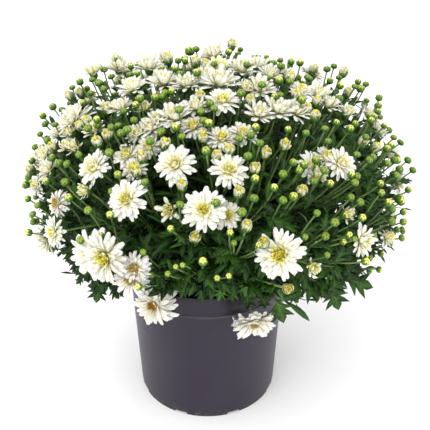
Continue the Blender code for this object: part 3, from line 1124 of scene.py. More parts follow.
def basis(ahead: Vector, up: Vector, spin: float = 0.0) -> Matrix:
    """A turn that takes +X to one direction and +Z near another.

    Args:
        ahead: where +X goes.
        up: where +Z goes, as nearly as it can.
        spin: a further turn round the new +X, in radians.

    Returns:
        The turn as a 3 by 3 matrix.
    """
    x = ahead.normalized()
    y = up.cross(x)
    y = y.normalized() if y.length > 0.000001 else x.orthogonal().normalized()
    z = x.cross(y)
    return Matrix((x, y, z)).transposed() @ Matrix.Rotation(spin, 3, "X")


def standing(way: Vector, spin: float) -> Matrix:
    """A turn that takes +Z to a direction, after a turn round +Z by spin."""
    return way.to_track_quat("Z", "Y").to_matrix() @ Matrix.Rotation(spin, 3, "Z")


def along_curve(start: Vector, leave: Vector, end: Vector, arrive: Vector, share: float) -> Vector:
    """A point of a smooth curve.

    Args:
        start: where the curve starts.
        leave: how it leaves its start, as a direction times a strength.
        end: where it ends.
        arrive: how it arrives there.
        share: how far along it the point is, from 0 to 1.

    Returns:
        The point.
    """
    s2, s3 = share * share, share * share * share
    return (
        (2 * s3 - 3 * s2 + 1) * start
        + (s3 - 2 * s2 + share) * leave
        + (3 * s2 - 2 * s3) * end
        + (s3 - s2) * arrive
    )


@dataclass(frozen=True)
class Dome:
    """The rounded outside of the plant, an egg shape that the flower heads and buds lie on."""

    middle: Vector = field(default_factory=lambda: Vector((0.0125, 0.0, 0.2850)))
    radius: float = 0.2260
    rise: float = 0.1630
    drop: float = 0.1500

    def upright(self, z: float) -> float:
        """The half-height above or below the middle."""
        return self.rise if z >= 0 else self.drop

    def point(self, azimuth: float, height: float, reach: float = 1.0) -> Vector:
        """The place in a direction from the dome's middle.

        Args:
            azimuth: the direction's azimuth in degrees.
            height: its height angle in degrees.
            reach: how far out the place lies, 1 on the dome itself.

        Returns:
            The place.
        """
        way = direction(azimuth, height)
        level = math.hypot(way.x, way.y)
        return self.middle + reach * way / math.hypot(level / self.radius, way.z / self.upright(way.z))

    def normal(self, place: Vector) -> Vector:
        """The direction square to the dome at a place.

        Args:
            place: the place.

        Returns:
            The direction, of unit length.
        """
        out = place - self.middle
        upright = self.upright(out.z)
        return Vector((out.x / self.radius**2, out.y / self.radius**2, out.z / upright**2)).normalized()

    def reach(self, place: Vector) -> float:
        """How far out a place lies, 1 on the dome itself."""
        out = place - self.middle
        return math.hypot(out.x / self.radius, out.y / self.radius, out.z / self.upright(out.z))

    def azimuth(self, place: Vector) -> float:
        """The azimuth of a place in degrees."""
        out = place - self.middle
        return math.degrees(math.atan2(out.x, -out.y))

    def height(self, place: Vector) -> float:
        """The height angle of a place in degrees."""
        out = place - self.middle
        return math.degrees(math.atan2(out.z, math.hypot(out.x, out.y)))


@dataclass(frozen=True)
class Viewpoint:
    """Where the picture is taken from. Its frame is 430 pixels square."""

    place: Vector = field(default_factory=lambda: Vector((0.0102, -0.881, 0.7453)))
    down: float = 29.2
    focal: float = 800.0
    frame: float = 430.0
    sensor: float = 36.0
    grazing: float = -0.02

    def ahead(self) -> Vector:
        """The way that the camera looks."""
        tip = math.radians(self.down)
        return Vector((0.0, math.cos(tip), -math.sin(tip)))

    def make(self) -> None:
        """Makes the camera and gives it to the scene."""
        data = bpy.data.cameras.new("viewpoint")
        data.sensor_width = self.sensor
        data.lens = self.sensor * self.focal / self.frame
        made = Workbench.add("viewpoint", data)
        made.location = self.place
        made.rotation_euler = (math.radians(90.0 - self.down), 0.0, 0.0)
        bpy.context.scene.camera = made

    def ray(self, x: float, y: float) -> Vector:
        """The direction that a pixel of the frame looks in.

        Args:
            x: the pixel's column.
            y: the pixel's row.

        Returns:
            The direction, of unit length.
        """
        ahead = self.ahead()
        up = Vector((0.0, -ahead.z, ahead.y))
        middle = self.frame / 2
        side = (x - middle) / self.focal * Vector((1.0, 0.0, 0.0))
        return (ahead + side - (y - middle) / self.focal * up).normalized()

    def project(self, place: Vector) -> tuple:
        """The pixel that a place is seen at.

        Args:
            place: the place.

        Returns:
            Its column and row.
        """
        ahead, out = self.ahead(), place - self.place
        rise = out.z * ahead.y - out.y * ahead.z
        middle, depth = self.frame / 2, out.dot(ahead)
        return middle + self.focal * out.x / depth, middle - self.focal * rise / depth

    def pixel_size(self, place: Vector) -> float:
        """How many metres a pixel of the picture spans at a place."""
        return (place - self.place).dot(self.ahead()) / self.focal

    def at_depth(self, x: float, y: float, depth: float) -> Vector:
        """The place where a pixel's ray reaches the plane that faces the viewer at a depth along Y."""
        ray = self.ray(x, y)
        return self.place + (depth - self.place.y) / ray.y * ray

    def onto(self, dome: Dome, x: float, y: float, reach: float) -> Vector:
        """The place where a pixel's ray meets the dome at a reach, or else where it passes closest.

        Args:
            dome: the dome.
            x: the pixel's column.
            y: the pixel's row.
            reach: how far out the place lies, 1 on the dome itself.

        Returns:
            The place.
        """
        ray = self.ray(x, y)
        best = None
        for upright, above in ((dome.rise, True), (dome.drop, False)):
            size = Vector((dome.radius, dome.radius, upright)) * reach
            o = Vector([(p - m) / s for p, m, s in zip(self.place, dome.middle, size)])
            d = Vector([r / s for r, s in zip(ray, size)])
            nearest = -o.dot(d) / d.dot(d)
            inside = 1.0 - (o + nearest * d).length_squared
            travel = nearest - math.sqrt(max(0.0, inside) / d.dot(d))
            place = self.place + travel * ray
            if best is None or (place.z >= dome.middle.z) == above:
                best = place
        return best

    def sees(self, place: Vector, normal: Vector) -> bool:
        """Whether a place on the dome faces the camera."""
        return (self.place - place).normalized().dot(normal) > self.grazing


class Stage(Enum):
    """How far a flower head has opened."""

    OPEN = "open"
    FULL = "full"
    RIPE = "ripe"
    CUP = "cup"
    HALF_OPEN = "half_open"
    OPENING = "opening"
    AGED = "aged"
    MOP = "mop"
    FADED = "faded"


@dataclass(frozen=True)
class HeadSize:
    """The sizes that a flower head's parts follow.

    The outlines are points of (radius, height). A radius in cup or heart is a share of cup_radius.
    """

    seat: tuple = ((0.0017, 0.0), (0.002125, 0.0012))
    cup: tuple = ((0.78, 0.0030), (1.0, 0.0056), (0.94, 0.0082), (0.80, 0.0098))
    heart: tuple = ((0.64, 0.0108), (0.40, 0.0120), (0.12, 0.0126))
    cup_radius: float = 0.0052
    wide_cup: float = 1.04
    cup_sides: int = 12
    green_share: float = 0.75
    heart_share: float = 0.6
    face: float = 0.0105
    clear: float = 0.0022
    opening_width: float = 0.0125

    def green(self, grow: float) -> list:
        """The outline of the green cup that the petals grow from, as (radius, height), seat first."""
        return [*self.seat, *((share * self.cup_radius * grow, height) for share, height in self.cup)]

    def middle(self) -> list:
        """The outline of the rounded middle between the innermost petals, as (radius, height)."""
        return [(share * self.cup_radius, height) for share, height in self.heart]


@dataclass
class Placed:
    """A flower head or bud: the seat that its stalk ends on, the way that it faces, and its size."""

    seat: Vector
    way: Vector
    width: float
    stage: Stage | None = None
    ripe: float = 0.0
    node: str | None = None
    face: Vector | None = None


BRACTS = Whorl(BRACT, 12, (3.4, 4.4), (2.6, 5.0), (68, 60), (6.2, 5.2))


def opened(grow: float = 1.0, thin: float = 1.0, counts: tuple = ((22, 19), (19, 16), (16, 14)),
           last: tuple = (30, 52)) -> tuple:
    """The bracts and the three rings of petals of an open head.

    Args:
        grow: how wide its disc is, 1 for a common one.
        thin: how wide its petals are, 1 for common ones.
        counts: each ring's number of petals, on a fine and on a plain head.
        last: the lift of the innermost ring.

    Returns:
        The whorls.
    """
    outer, second, inner = counts
    return (
        BRACTS,
        Whorl(PETAL_OPEN, outer[0], (4.2 * grow, 3.2 * grow), (7.8, 9.0), (-8, 16), (1.0, 0.96), thin,
              (0.0, 0.08), 7.0, 0.11, plain=(PLAIN_OPEN, outer[1])),
        Whorl(PETAL_OPEN, second[0], (3.6 * grow, 3.0 * grow), (9.0, 9.0), (12, 34), (0.92, 0.76), thin,
              (0.08, 0.3), 8.0, 0.12, plain=(PLAIN_OPEN, second[1])),
        Whorl(PETAL_CURVED, inner[0], (3.4 * grow, 2.8 * grow), (9.0, 10.0), last, (0.72, 0.50), 1.15 * thin,
              (0.2, 0.6), 10.0, 0.16, plain=(PLAIN_CURVED, inner[1])),
    )


def fallen(fall: int, disc: Finish) -> tuple:
    """The whorls of a head past its best.

    Args:
        fall: the lift of its outermost petals.
        disc: the finish of its florets.

    Returns:
        The whorls.
    """
    return (
        BRACTS,
        Whorl(PETAL_HANGING, 27, (4.6, 3.6), (7.8, 9.0), (fall, fall + 24), (1.0, 0.90), 1.0, (0.0, 0.15),
              9.0, 0.16, PETAL_FADED),
        Whorl(PETAL_OPEN, 30, (4.0, 3.0), (9.0, 9.0), (fall + 24, fall + 52), (0.90, 0.66), 0.95, (0.1, 0.35),
              10.0, 0.18, PETAL_FADED),
        Whorl(PETAL_CURVED, 17, (3.6, 3.0), (9.0, 9.0), (22, 44), (0.60, 0.38), 1.0, (0.4, 0.8), 10.0, 0.18,
              PETAL_FADED),
        Whorl(FLORET, 34, (4.6, 0.2), (8.6, 10.2), (50, 88), (5.0, 4.2), 1.2, (1, 1), 13.0, 0.2, disc),
    )


WHORLS = {
    Stage.OPENING: (
        Whorl(BRACT, 15, (3.6, 4.4), (2.0, 4.6), (64, 70), (8.0, 7.2), 1.15),
        Whorl(FRESH_CURVED, 15, (4.7, 4.2), (4.6, 6.2), (72, 82), (8.5, 8.5), 1.5, (0.45, 0.75), 6.0),
        Whorl(FRESH_CURVED, 12, (3.4, 1.4), (7.2, 8.8), (70, 84), (7.14, 5.61), 1.5, (0.85, 1.0), 8.0, 0.12),
        Whorl(FLORET, 7, (1.6, 0.4), (10.6, 11.2), (70, 86), (5.8, 5.2), 1.3, (1, 1), 12.0),
    ),
    Stage.HALF_OPEN: (
        BRACTS,
        Whorl(PETAL_CURVED, 6, (4.6, 4.2), (7.8, 9.0), (0, 26), (1.06, 0.96), 1.1, (0.05, 0.2), 12.0, 0.14,
              plain=(PLAIN_CURVED, 6)),
        Whorl(PETAL_CURVED, 15, (4.4, 3.2), (7.8, 9.0), (42, 64), (0.92, 0.74), 1.15, (0.3, 0.7), 9.0, 0.14,
              PETAL_FRESH, (PLAIN_CURVED, 15)),
        Whorl(FRESH_CURVED, 14, (2.8, 0.8), (9.0, 10.0), (62, 84), (9.0, 7.2), 1.2, (0.7, 1.0), 10.0, 0.14),
        Whorl(FLORET, 6, (1.6, 0.4), (10.0, 11.0), (66, 86), (6.2, 5.6), 1.2, (1, 1), 12.0),
    ),
    Stage.CUP: (
        BRACTS,
        Whorl(PETAL_OPEN, 20, (4.2, 3.4), (7.8, 9.0), (8, 38), (1.0, 0.98), 1.05, (0.0, 0.15), 8.0, 0.12,
              plain=(PLAIN_OPEN, 17)),
        Whorl(PETAL_CURVED, 20, (3.6, 2.4), (9.0, 9.0), (40, 62), (0.92, 0.68), 1.10, (0.2, 0.7), 8.0, 0.14,
              plain=(PLAIN_CURVED, 17)),
        Whorl(PETAL_CURVED, 11, (2.4, 1.2), (9.0, 9.0), (60, 78), (0.62, 0.46), 1.15, (0.7, 1.0), 8.0, 0.14,
              PETAL_FRESH, (PLAIN_CURVED, 11)),
        Whorl(FRESH_CURVED, 9, (2.0, 0.6), (9.0, 9.0), (66, 86), (8.5, 6.8), 1.0, (0.8, 1.0), 7.0),
    ),
    Stage.MOP: (
        BRACTS,
        Whorl(PETAL_HANGING, 28, (4.8, 4.0), (6.8, 9.0), (-30, -10), (1.0, 0.94), 1.15, (0.0, 0.1), 8.0, 0.10,
              PETAL_FADED),
        Whorl(PETAL_HANGING, 26, (4.4, 3.6), (9.0, 9.0), (-10, 12), (0.94, 0.84), 1.15, (0.0, 0.3), 8.0, 0.12,
              PETAL_FADED),
        Whorl(PETAL_OPEN, 22, (4.2, 3.4), (9.0, 10.0), (12, 34), (0.80, 0.56), 1.15, (0.2, 0.5), 9.0, 0.14,
              PETAL_FADED),
        Whorl(PETAL_CURVED, 9, (3.8, 3.0), (9.0, 10.0), (34, 50), (0.44, 0.32), 1.1, (0.5, 0.8), 9.0, 0.14,
              PETAL_FADED),
        Whorl(FLORET, 16, (3.0, 0.2), (9.4, 11.0), (54, 88), (6.4, 5.4), 1.3, (1, 1), 14.0, 0.2, FLORET_TAN),
    ),
    Stage.FADED: fallen(-16, FLORET_TAN),
    Stage.AGED: fallen(-30, FLORET_BROWN),
    Stage.FULL: (
        *opened(),
        Whorl(PETAL_CURVED, 12, (2.8, 1.0), (10.0, 11.0), (48, 78), (0.60, 0.42), 1.1, (0.5, 0.9), 10.0, 0.16,
              plain=(PLAIN_CURVED, 12)),
        Whorl(FLORET, 7, (2.6, 0.4), (10.0, 11.0), (56, 84), (7.0, 6.0), 1.2, (1, 1), 16.0, 0.2),
    ),
    Stage.OPEN: (
        *opened(),
        Whorl(FRESH_CURVED, 9, (2.8, 1.6), (9.0, 10.0), (48, 66), (8.8, 7.4), 0.9, (0.6, 0.9), 11.0, 0.16),
        Whorl(FLORET, 16, (3.4, 0.2), (10.0, 11.2), (44, 88), (6.6, 5.6), 1.3, (1, 1), 16.0, 0.24,
              plain=(FLORET, 11)),
    ),
    Stage.RIPE: (
        *opened(1.45, 0.85, ((28, 23), (24, 20), (20, 17)), (26, 46)),
        Whorl(FRESH_CURVED, 9, (4.06, 1.6), (9.0, 10.0), (48, 66), (8.8, 7.4), 0.9, (0.6, 0.9), 11.0, 0.16),
        Whorl(FLORET, 40, (5.8, 0.2), (10.0, 11.2), (44, 88), (6.6, 5.6), 1.3, (1, 1), 16.0, 0.24),
    ),
}


class HeadMaker:
    """Builds flower heads of every stage, each with its own seed."""

    flop_radius, flop_most, flop_sag, flop_keep = 0.0110, 0.85, 14.0, 0.6
    hearts = {Stage.AGED: FLORET_BROWN, Stage.FADED: FLORET_TAN, Stage.MOP: FLORET_TAN}
    seed_step = 17

    def __init__(self, tool: WhorlTool) -> None:
        """Takes the tree that sets petals on spirals."""
        self.tool = tool
        self.size = HeadSize()
        self.count = 0

    def cup(self, name: str, stage: Stage) -> Mesh:
        """The green cup under the petals, closed, standing on its seat.

        Args:
            name: the mesh's name.
            stage: how far the head has opened; an opening one has the widest cup.

        Returns:
            The mesh.
        """
        size = self.size
        green = size.green(size.wide_cup if stage is Stage.OPENING else 1.0)
        rings = [*green, *size.middle()]
        places = [place for radius, height in rings for place in ring_points(radius, height, size.cup_sides)]
        top = green[-1][1]
        rise, heart = size.green_share / top, size.heart_share
        shares = [rise * height if height <= top else heart for _, height in rings]
        sides, last = range(size.cup_sides), (len(rings) - 1) * size.cup_sides
        walls = wall_faces(len(rings), size.cup_sides)
        faces = [tuple(reversed(sides)), *walls, tuple(last + i for i in sides)]
        finishes = (BUD_GREEN, self.hearts.get(stage, FLORET_YELLOW))
        along = [share for share in shares for _ in sides]
        mesh = Workbench.shape(name, places, faces, finishes, along=along)
        first_heart = (len(green) - 1) * size.cup_sides
        slots = [0, *(int(i >= first_heart) for i in range(len(walls))), 1]
        mesh.polygons.foreach_set("material_index", slots)
        return mesh

    def make(self, name: str, head: Placed, fine: bool) -> Object:
        """Builds a head where it belongs.

        Args:
            name: the object's name.
            head: the head's seat, way, width and stage.
            fine: whether its petals have a fine section.

        Returns:
            The finished object at the origin, with its place in its mesh.
        """
        self.count += 1
        made = Workbench.add(name, self.cup(name, head.stage))
        petal = head.width / 2 - self.size.clear
        for number, whorl in enumerate(WHORLS[head.stage]):
            whorl = whorl if fine else whorl.simple()
            self.tool.grow(made, whorl, petal, self.seed_step * self.count + number)
        made = Workbench.flatten(made)
        turn = standing(head.way, GOLDEN_ANGLE * self.count).to_4x4()
        made.data.transform(Matrix.Translation(head.seat) @ turn)
        if head.stage is Stage.MOP:
            self.flop(made, head)
        return made

    def flop(self, made: Object, head: Placed) -> None:
        """Lets the upper petals of a hanging head bend forward over its middle.

        Args:
            made: the head, in its place.
            head: its seat and the way that it faces.
        """
        middle = head.seat + self.size.face * head.way
        up = (UP - UP.dot(head.way) * head.way).normalized()
        across = head.way.cross(up)
        for vertex in made.data.vertices:
            out = vertex.co - middle
            rise, ahead = out.dot(up), out.dot(head.way)
            if rise > 0:
                turn = min(rise / self.flop_radius, self.flop_most)
                left = rise - turn * self.flop_radius
                along = math.cos(turn) * up + math.sin(turn) * head.way
                out += (self.flop_radius * math.sin(turn) - rise) * up + left * along
                out += (self.flop_radius * (1 - math.cos(turn)) - ahead) * head.way
                lean = math.cos(turn) * head.way - math.sin(turn) * up
                vertex.co = middle + out + self.flop_keep * ahead * lean
            vertex.co -= self.flop_sag * out.dot(across) ** 2 * UP


@dataclass(frozen=True)
class BudShape:
    """A bud of unit width that stands on the origin: a ball of folded bracts with a dimpled top."""

    name: str
    outline: tuple
    fold: float = 0.07
    columns: int = 12

    def make(self) -> Object:
        """Builds the bud, whose along value is the height and whose across value is 1 in the creases.

        Returns:
            The object that buds are copied from.
        """
        rings, top, n = self.outline[:-1], self.outline[-1][1], self.columns
        places, along, across = [(0.0, 0.0, 0.0)], [0.0], [0.0]
        for row, (radius, height) in enumerate(rings):
            for i in range(n):
                a = 2 * math.pi * (i + 0.5 * (row % 2)) / n
                r = radius * (1 - self.fold * (i % 2))
                places.append((r * math.cos(a), r * math.sin(a), height))
                along.append(height / top)
                across.append(float(i % 2))
        places.append((0.0, 0.0, top))
        last, faces = len(places) - 1, []
        for i in range(n):
            faces.append((0, 1 + (i + 1) % n, 1 + i))
            faces.append((last, last - n + i, last - n + (i + 1) % n))
        faces += wall_faces(len(rings), n, 1)
        notes = {"along": [*along, 1.0], "across": [*across, 0.0]}
        return Pattern.of_mesh(Workbench.shape(self.name, places, faces, (BUD_GREEN,), **notes))


BUD_SHAPES = (
    BudShape("bud_1_tight",
             ((0.20, 0.02), (0.44, 0.15), (0.50, 0.38), (0.43, 0.60), (0.24, 0.73), (0, 0.76))),
    BudShape("bud_2_ripe",
             ((0.20, 0.02), (0.43, 0.15), (0.50, 0.40), (0.45, 0.66), (0.26, 0.84), (0, 0.80)), 0.10),
    BudShape("bud_3_flat",
             ((0.22, 0.02), (0.46, 0.14), (0.50, 0.34), (0.42, 0.54), (0.20, 0.64), (0, 0.60))),
)


@dataclass(frozen=True)
class Seen:
    """A flower head seen in the picture: its middle and its width in pixels, and its stage."""

    x: float
    y: float
    width: float
    stage: Stage = Stage.OPEN
    lean: float = 0.0
    reach: float = 0.985


SEEN_HEADS = tuple(Seen(*row) for row in (
    (214, 56, 28, Stage.CUP, 34), (232, 44, 16, Stage.HALF_OPEN, 20), (93, 72, 24, Stage.HALF_OPEN, 25),
    (118, 68, 26, Stage.CUP, 30), (149, 68, 27, Stage.CUP, 30), (241, 70, 26),
    (258, 67, 25, Stage.CUP, 15), (164, 83, 30, Stage.CUP, 15), (186, 85, 25, Stage.CUP, 15),
    (219, 84, 34, Stage.CUP, 10), (260, 89, 26, Stage.CUP, 10), (319, 96, 27, Stage.CUP, 10),
    (329, 105, 22, Stage.CUP, 20), (347, 112, 20, Stage.HALF_OPEN, 15),
    (107, 108, 19, Stage.HALF_OPEN, 10), (121, 108, 22, Stage.CUP, 10),
    (145, 107, 17, Stage.HALF_OPEN, 5), (159, 120, 33), (175, 118, 30, Stage.CUP), (193, 126, 25),
    (196, 107, 22, Stage.CUP), (259, 114, 25), (277, 111, 30), (222, 138, 30), (243, 133, 27),
    (58, 134, 20, Stage.CUP, 10), (67, 145, 18, Stage.HALF_OPEN, 10), (126, 155, 27), (134, 168, 24),
    (149, 146, 24), (378, 131, 20, Stage.CUP, 20), (169, 210, 23, Stage.HALF_OPEN, -8), (37, 184, 22),
    (84, 190, 17, Stage.HALF_OPEN), (56, 203, 25, Stage.FADED), (313, 267, 16, Stage.HALF_OPEN),
    (387, 236, 22), (348, 214, 15, Stage.HALF_OPEN), (104, 258, 46, Stage.RIPE, -6, 1.05),
    (206, 77, 24, Stage.CUP, 15), (296, 112, 26, Stage.CUP, 5), (48, 170, 20, Stage.CUP, 10),
    (326, 157, 22), (318, 176, 18, Stage.HALF_OPEN), (284, 74, 22, Stage.CUP, 20),
    (134, 268, 30, Stage.FADED), (246, 88, 20, Stage.HALF_OPEN, 10), (151, 128, 22, Stage.CUP),
    (138, 133, 20, Stage.CUP), (77, 119, 33, Stage.CUP, 20), (41, 158, 24, Stage.CUP, 10),
    (70, 132, 19, Stage.HALF_OPEN, 10), (74, 147, 17, Stage.HALF_OPEN, 5), (94, 130, 18, Stage.CUP, 10),
    (270, 75, 21, Stage.CUP, 15),
))
SEEN_OPENING = (
    (182, 184), (217, 155), (285, 144), (255, 167), (266, 152), (239, 191), (247, 225), (195, 237),
    (165, 143), (116, 58), (168, 58), (196, 61), (206, 64), (200, 95), (297, 94), (307, 108), (250, 100),
    (317, 100), (348, 91), (264, 242), (302, 190), (97, 141), (107, 134), (80, 125), (87, 120),
    (363, 141), (288, 289), (229, 149), (203, 136), (314, 68), (344, 71), (80, 92), (69, 95), (52, 146),
    (290, 76), (315, 115), (376, 147), (30, 169), (142, 156), (136, 170),
)
SEEN_BUDS = (
    (118, 175), (145, 182), (110, 215), (88, 210), (143, 252), (151, 275), (168, 274), (183, 265),
    (176, 267), (234, 243), (217, 278), (229, 276), (259, 245), (206, 151), (248, 156), (150, 141),
    (182, 136), (160, 132), (239, 138), (251, 135), (255, 179), (180, 204), (242, 212), (230, 233),
    (171, 229), (109, 152), (101, 236), (196, 49), (80, 82), (72, 87), (91, 93), (104, 69), (92, 79),
    (98, 82), (111, 76), (131, 67), (130, 74), (137, 74), (104, 89), (83, 103), (53, 107), (62, 109),
    (43, 116), (45, 124), (55, 124), (40, 134), (35, 147), (47, 140), (32, 161), (28, 177), (26, 185),
    (28, 199), (47, 182), (65, 182), (67, 164), (52, 158), (79, 155), (69, 198), (97, 120), (98, 125),
    (88, 128), (111, 127), (118, 125), (127, 129), (121, 133), (124, 111), (136, 105), (134, 120),
    (140, 99), (155, 98), (165, 92), (171, 92), (162, 96), (178, 61), (185, 61), (214, 64), (175, 69),
    (180, 73), (197, 73), (210, 103), (214, 108), (201, 111), (204, 120), (179, 109), (162, 131),
    (176, 128), (209, 124), (225, 68), (247, 65), (281, 66), (274, 62), (291, 62), (300, 63), (327, 69),
    (334, 66), (339, 77), (330, 81), (308, 77), (268, 77), (279, 81), (290, 81), (262, 84), (280, 95),
    (275, 97), (241, 93), (340, 86), (339, 98), (358, 82), (366, 84), (355, 86), (360, 89), (367, 100),
    (379, 98), (378, 106), (378, 112), (380, 116), (374, 117), (369, 116), (371, 121), (384, 126),
    (389, 130), (394, 137), (401, 142), (391, 146), (387, 149), (366, 137), (395, 160), (408, 160),
    (388, 163), (413, 170), (400, 169), (397, 175), (408, 190), (403, 212), (403, 222), (392, 221),
    (392, 209), (401, 202), (380, 184), (381, 193), (355, 182), (357, 176), (351, 175), (373, 157),
    (369, 160), (357, 154), (336, 123), (350, 129), (355, 124), (328, 141), (325, 128), (302, 100),
    (288, 130), (306, 133), (256, 128), (260, 143), (293, 163), (299, 171), (304, 165), (316, 160),
    (325, 170), (314, 181), (330, 184), (283, 174), (283, 200), (351, 197), (360, 202), (317, 213),
    (305, 237), (343, 242), (349, 235), (355, 239), (274, 188), (254, 198), (293, 197), (269, 267),
    (32, 214), (37, 205), (327, 255), (370, 258), (362, 218), (335, 222), (374, 236), (388, 203),
)


@dataclass(frozen=True)
class SeenLeaf:
    """A leaf seen in the picture: its foot and tip in pixels, how far back it lies and how bright it is,
    partly painted light and shade.
    """

    foot: tuple
    tip: tuple
    depth: float
    tone: float
    narrow: bool = False


# The fourth value of each row is the leaf's brightness in the picture, used as its tone: partly its own
# green, partly painted light and shade.
SEEN_LEAVES = tuple(SeenLeaf(*row) for row in (
    ((99, 283), (96, 303), -0.06, 0.1), ((111, 286), (119, 299), -0.07, 0.1),
    ((75, 274), (61, 272), -0.03, 0.2, True), ((84, 277), (76, 284), -0.04, 0.2),
    ((196, 281), (188, 297), -0.146, 0.98, True), ((200, 287), (203, 303), -0.114, 0.05),
    ((223, 286), (218, 301), -0.145, 0.95), ((216, 277), (226, 292), -0.145, 0.95, True),
    ((226, 285), (239, 300), -0.146, 0.85, True), ((228, 255), (214, 263), -0.165, 0.85),
    ((247, 279), (245, 297), -0.15, 0.95), ((248, 290), (247, 309), -0.112, 0.08),
    ((263, 295), (265, 309), -0.108, 0.4), ((276, 298), (284, 323), -0.112, 0.6),
    ((282, 299), (312, 321), -0.095, 0.4, True), ((296, 303), (300, 315), -0.09, 0.35, True),
    ((291, 288), (298, 303), -0.095, 0.1), ((300, 278), (319, 298), -0.09, 0.12),
    ((305, 300), (319, 300), -0.09, 0.6, True), ((325, 272), (340, 289), -0.095, 0.75),
    ((331, 285), (339, 310), -0.07, 0.4), ((343, 278), (373, 287), -0.05, 0.45),
    ((377, 251), (386, 263), -0.02, 0.4, True), ((378, 244), (388, 254), -0.02, 0.4, True),
    ((387, 244), (395, 251), -0.01, 0.35, True), ((401, 208), (412, 210), 0.0, 0.4, True),
    ((312, 227), (328, 231), -0.11, 0.7, True), ((308, 215), (317, 204), -0.1, 0.2),
    ((328, 219), (336, 208), -0.1, 0.3, True), ((282, 221), (296, 230), -0.14, 0.6),
    ((275, 232), (258, 234), -0.165, 0.5), ((264, 261), (254, 268), -0.165, 0.95),
    ((250, 270), (237, 264), -0.16, 0.75), ((183, 276), (170, 281), -0.14, 0.8),
    ((199, 281), (211, 284), -0.15, 0.7, True), ((186, 243), (170, 247), -0.17, 0.75, True),
    ((160, 282), (153, 290), -0.125, 0.45), ((186, 286), (180, 298), -0.118, 0.25),
    ((213, 284), (211, 300), -0.116, 0.2), ((232, 288), (233, 303), -0.114, 0.15),
    ((262, 270), (270, 282), -0.15, 0.85), ((287, 268), (279, 280), -0.14, 0.55),
    ((70, 166), (64, 144), 0.02, 0.05), ((84, 168), (76, 146), 0.02, 0.05),
    ((92, 178), (74, 160), 0.01, 0.05), ((102, 208), (97, 184), -0.02, 0.05),
    ((88, 230), (78, 208), -0.02, 0.05), ((92, 150), (84, 128), 0.03, 0.05),
))
HEM = ((0, 240), (45, 262), (60, 276), (85, 292), (120, 296), (180, 297), (245, 300), (300, 302), (345, 298),
       (375, 284), (390, 262), (430, 240))


@dataclass(frozen=True)
class MainStem:
    """A main stem: its name, its place round the crown and the first flower head that it carries."""

    name: str
    place: int
    first_head: int


STEM_HEADS = {
    "back_left": 1, "left": 3, "left_front": 6, "front_left": 9, "front": 12, "front_right": 15,
    "right_front": 18, "right": 21, "back_right": 23, "back": 25, "middle": 27,
}
MAIN_STEMS = tuple(MainStem(name, place, head) for place, (name, head) in enumerate(STEM_HEADS.items()))
OUTER_STEMS = 10
FIRST_AZIMUTH, SEAT_ANGLE, MIDDLE_SEAT_ANGLE = -144.0, 48.0, 89.0
STEM_LEAVE, STEM_ARRIVE = 0.95, 0.75
CAD_STAGES = {
    5: Stage.CUP, 6: Stage.FULL, 9: Stage.FULL, 11: Stage.FADED, 13: Stage.FULL, 14: Stage.AGED,
    17: Stage.MOP, 15: Stage.RIPE, 18: Stage.FULL, 19: Stage.CUP, 27: Stage.HALF_OPEN, 29: Stage.CUP,
    30: Stage.FULL,
}
CAD_TILTS = {14: (-0.36, -0.92, 0.12), 15: (-0.28, -0.86, 0.43), 17: (0.16, -0.95, -0.12)}
CAD_WIDTHS = {14: 0.058, 15: 0.046, 17: 0.053}
CAD_SHIFTS = {14: (-0.005, -0.003, -0.007), 17: (0.001, -0.004, -0.006)}


def symmetry_pose(node: str) -> tuple:
    """Reads where a turned CAD solid stands from its mesh.

    Args:
        node: the name of a flower head's node.

    Returns:
        Its seat, the way that it faces and its width.
    """
    data = frame["nodes"][node].data
    places = np.zeros(len(data.vertices) * 3)
    data.vertices.foreach_get("co", places)
    places = np.unique(places.reshape(-1, 3).round(6), axis=0)
    middle = places.mean(0)
    values, ways = np.linalg.eigh(np.cov((places - middle).T))
    axis = ways[:, 0] if values[1] - values[0] > values[2] - values[1] else ways[:, 2]
    up = (places - middle) @ axis
    radius = np.linalg.norm(places - middle - np.outer(up, axis), axis=1)
    rim = up[radius.argmax()]
    if rim - up.min() < up.max() - rim:
        axis, up = -axis, -up
    return Vector(middle + axis * up.min()), Vector(axis), 2 * float(radius.max())


def spread_points(dome: Dome, count: int, seed: int, low: float, reaches: tuple) -> list:
    """Places spread evenly and a little at random over the dome.

    Args:
        dome: the dome.
        count: how many places a whole ball would get.
        seed: the seed of the small differences.
        low: the lowest height angle, in degrees.
        reaches: the least and the greatest reach.

    Returns:
        The places.
    """
    height_spread, azimuth_spread, highest = 2.0, 2.5, 89.0
    chance = np.random.default_rng(seed)
    made = []
    for i in range(count):
        z = 1 - 2 * (i + 0.5) / count
        height = math.degrees(math.asin(z)) + chance.normal(0, height_spread)
        azimuth = math.degrees(GOLDEN_ANGLE * i) + chance.normal(0, azimuth_spread)
        reach = chance.uniform(*reaches)
        if height > low:
            made.append(dome.point(azimuth, min(height, highest), reach))
    return made


@dataclass
class Limits:
    """The room that the plant may take, from the CAD model's box."""

    low: Vector
    high: Vector
    share: float = 0.03
    allowance: float = 0.0075

    def reach_in(self, place: Vector, margin: float, dome: Dome) -> Vector:
        """Draws a place towards the dome's middle until it lies inside the room.

        Args:
            place: the place.
            margin: the room that must be left round it.
            dome: the dome whose middle it is drawn to.

        Returns:
            The place, moved only if it had to be.
        """
        out = place - dome.middle
        share = 1.0
        for axis in range(3):
            extra = self.share * (self.high[axis] - self.low[axis]) + self.allowance - margin
            room = (self.high[axis] + extra if out[axis] > 0 else self.low[axis] - extra) - dome.middle[axis]
            if abs(out[axis]) > abs(room):
                share = min(share, room / out[axis])
        return dome.middle + out * share


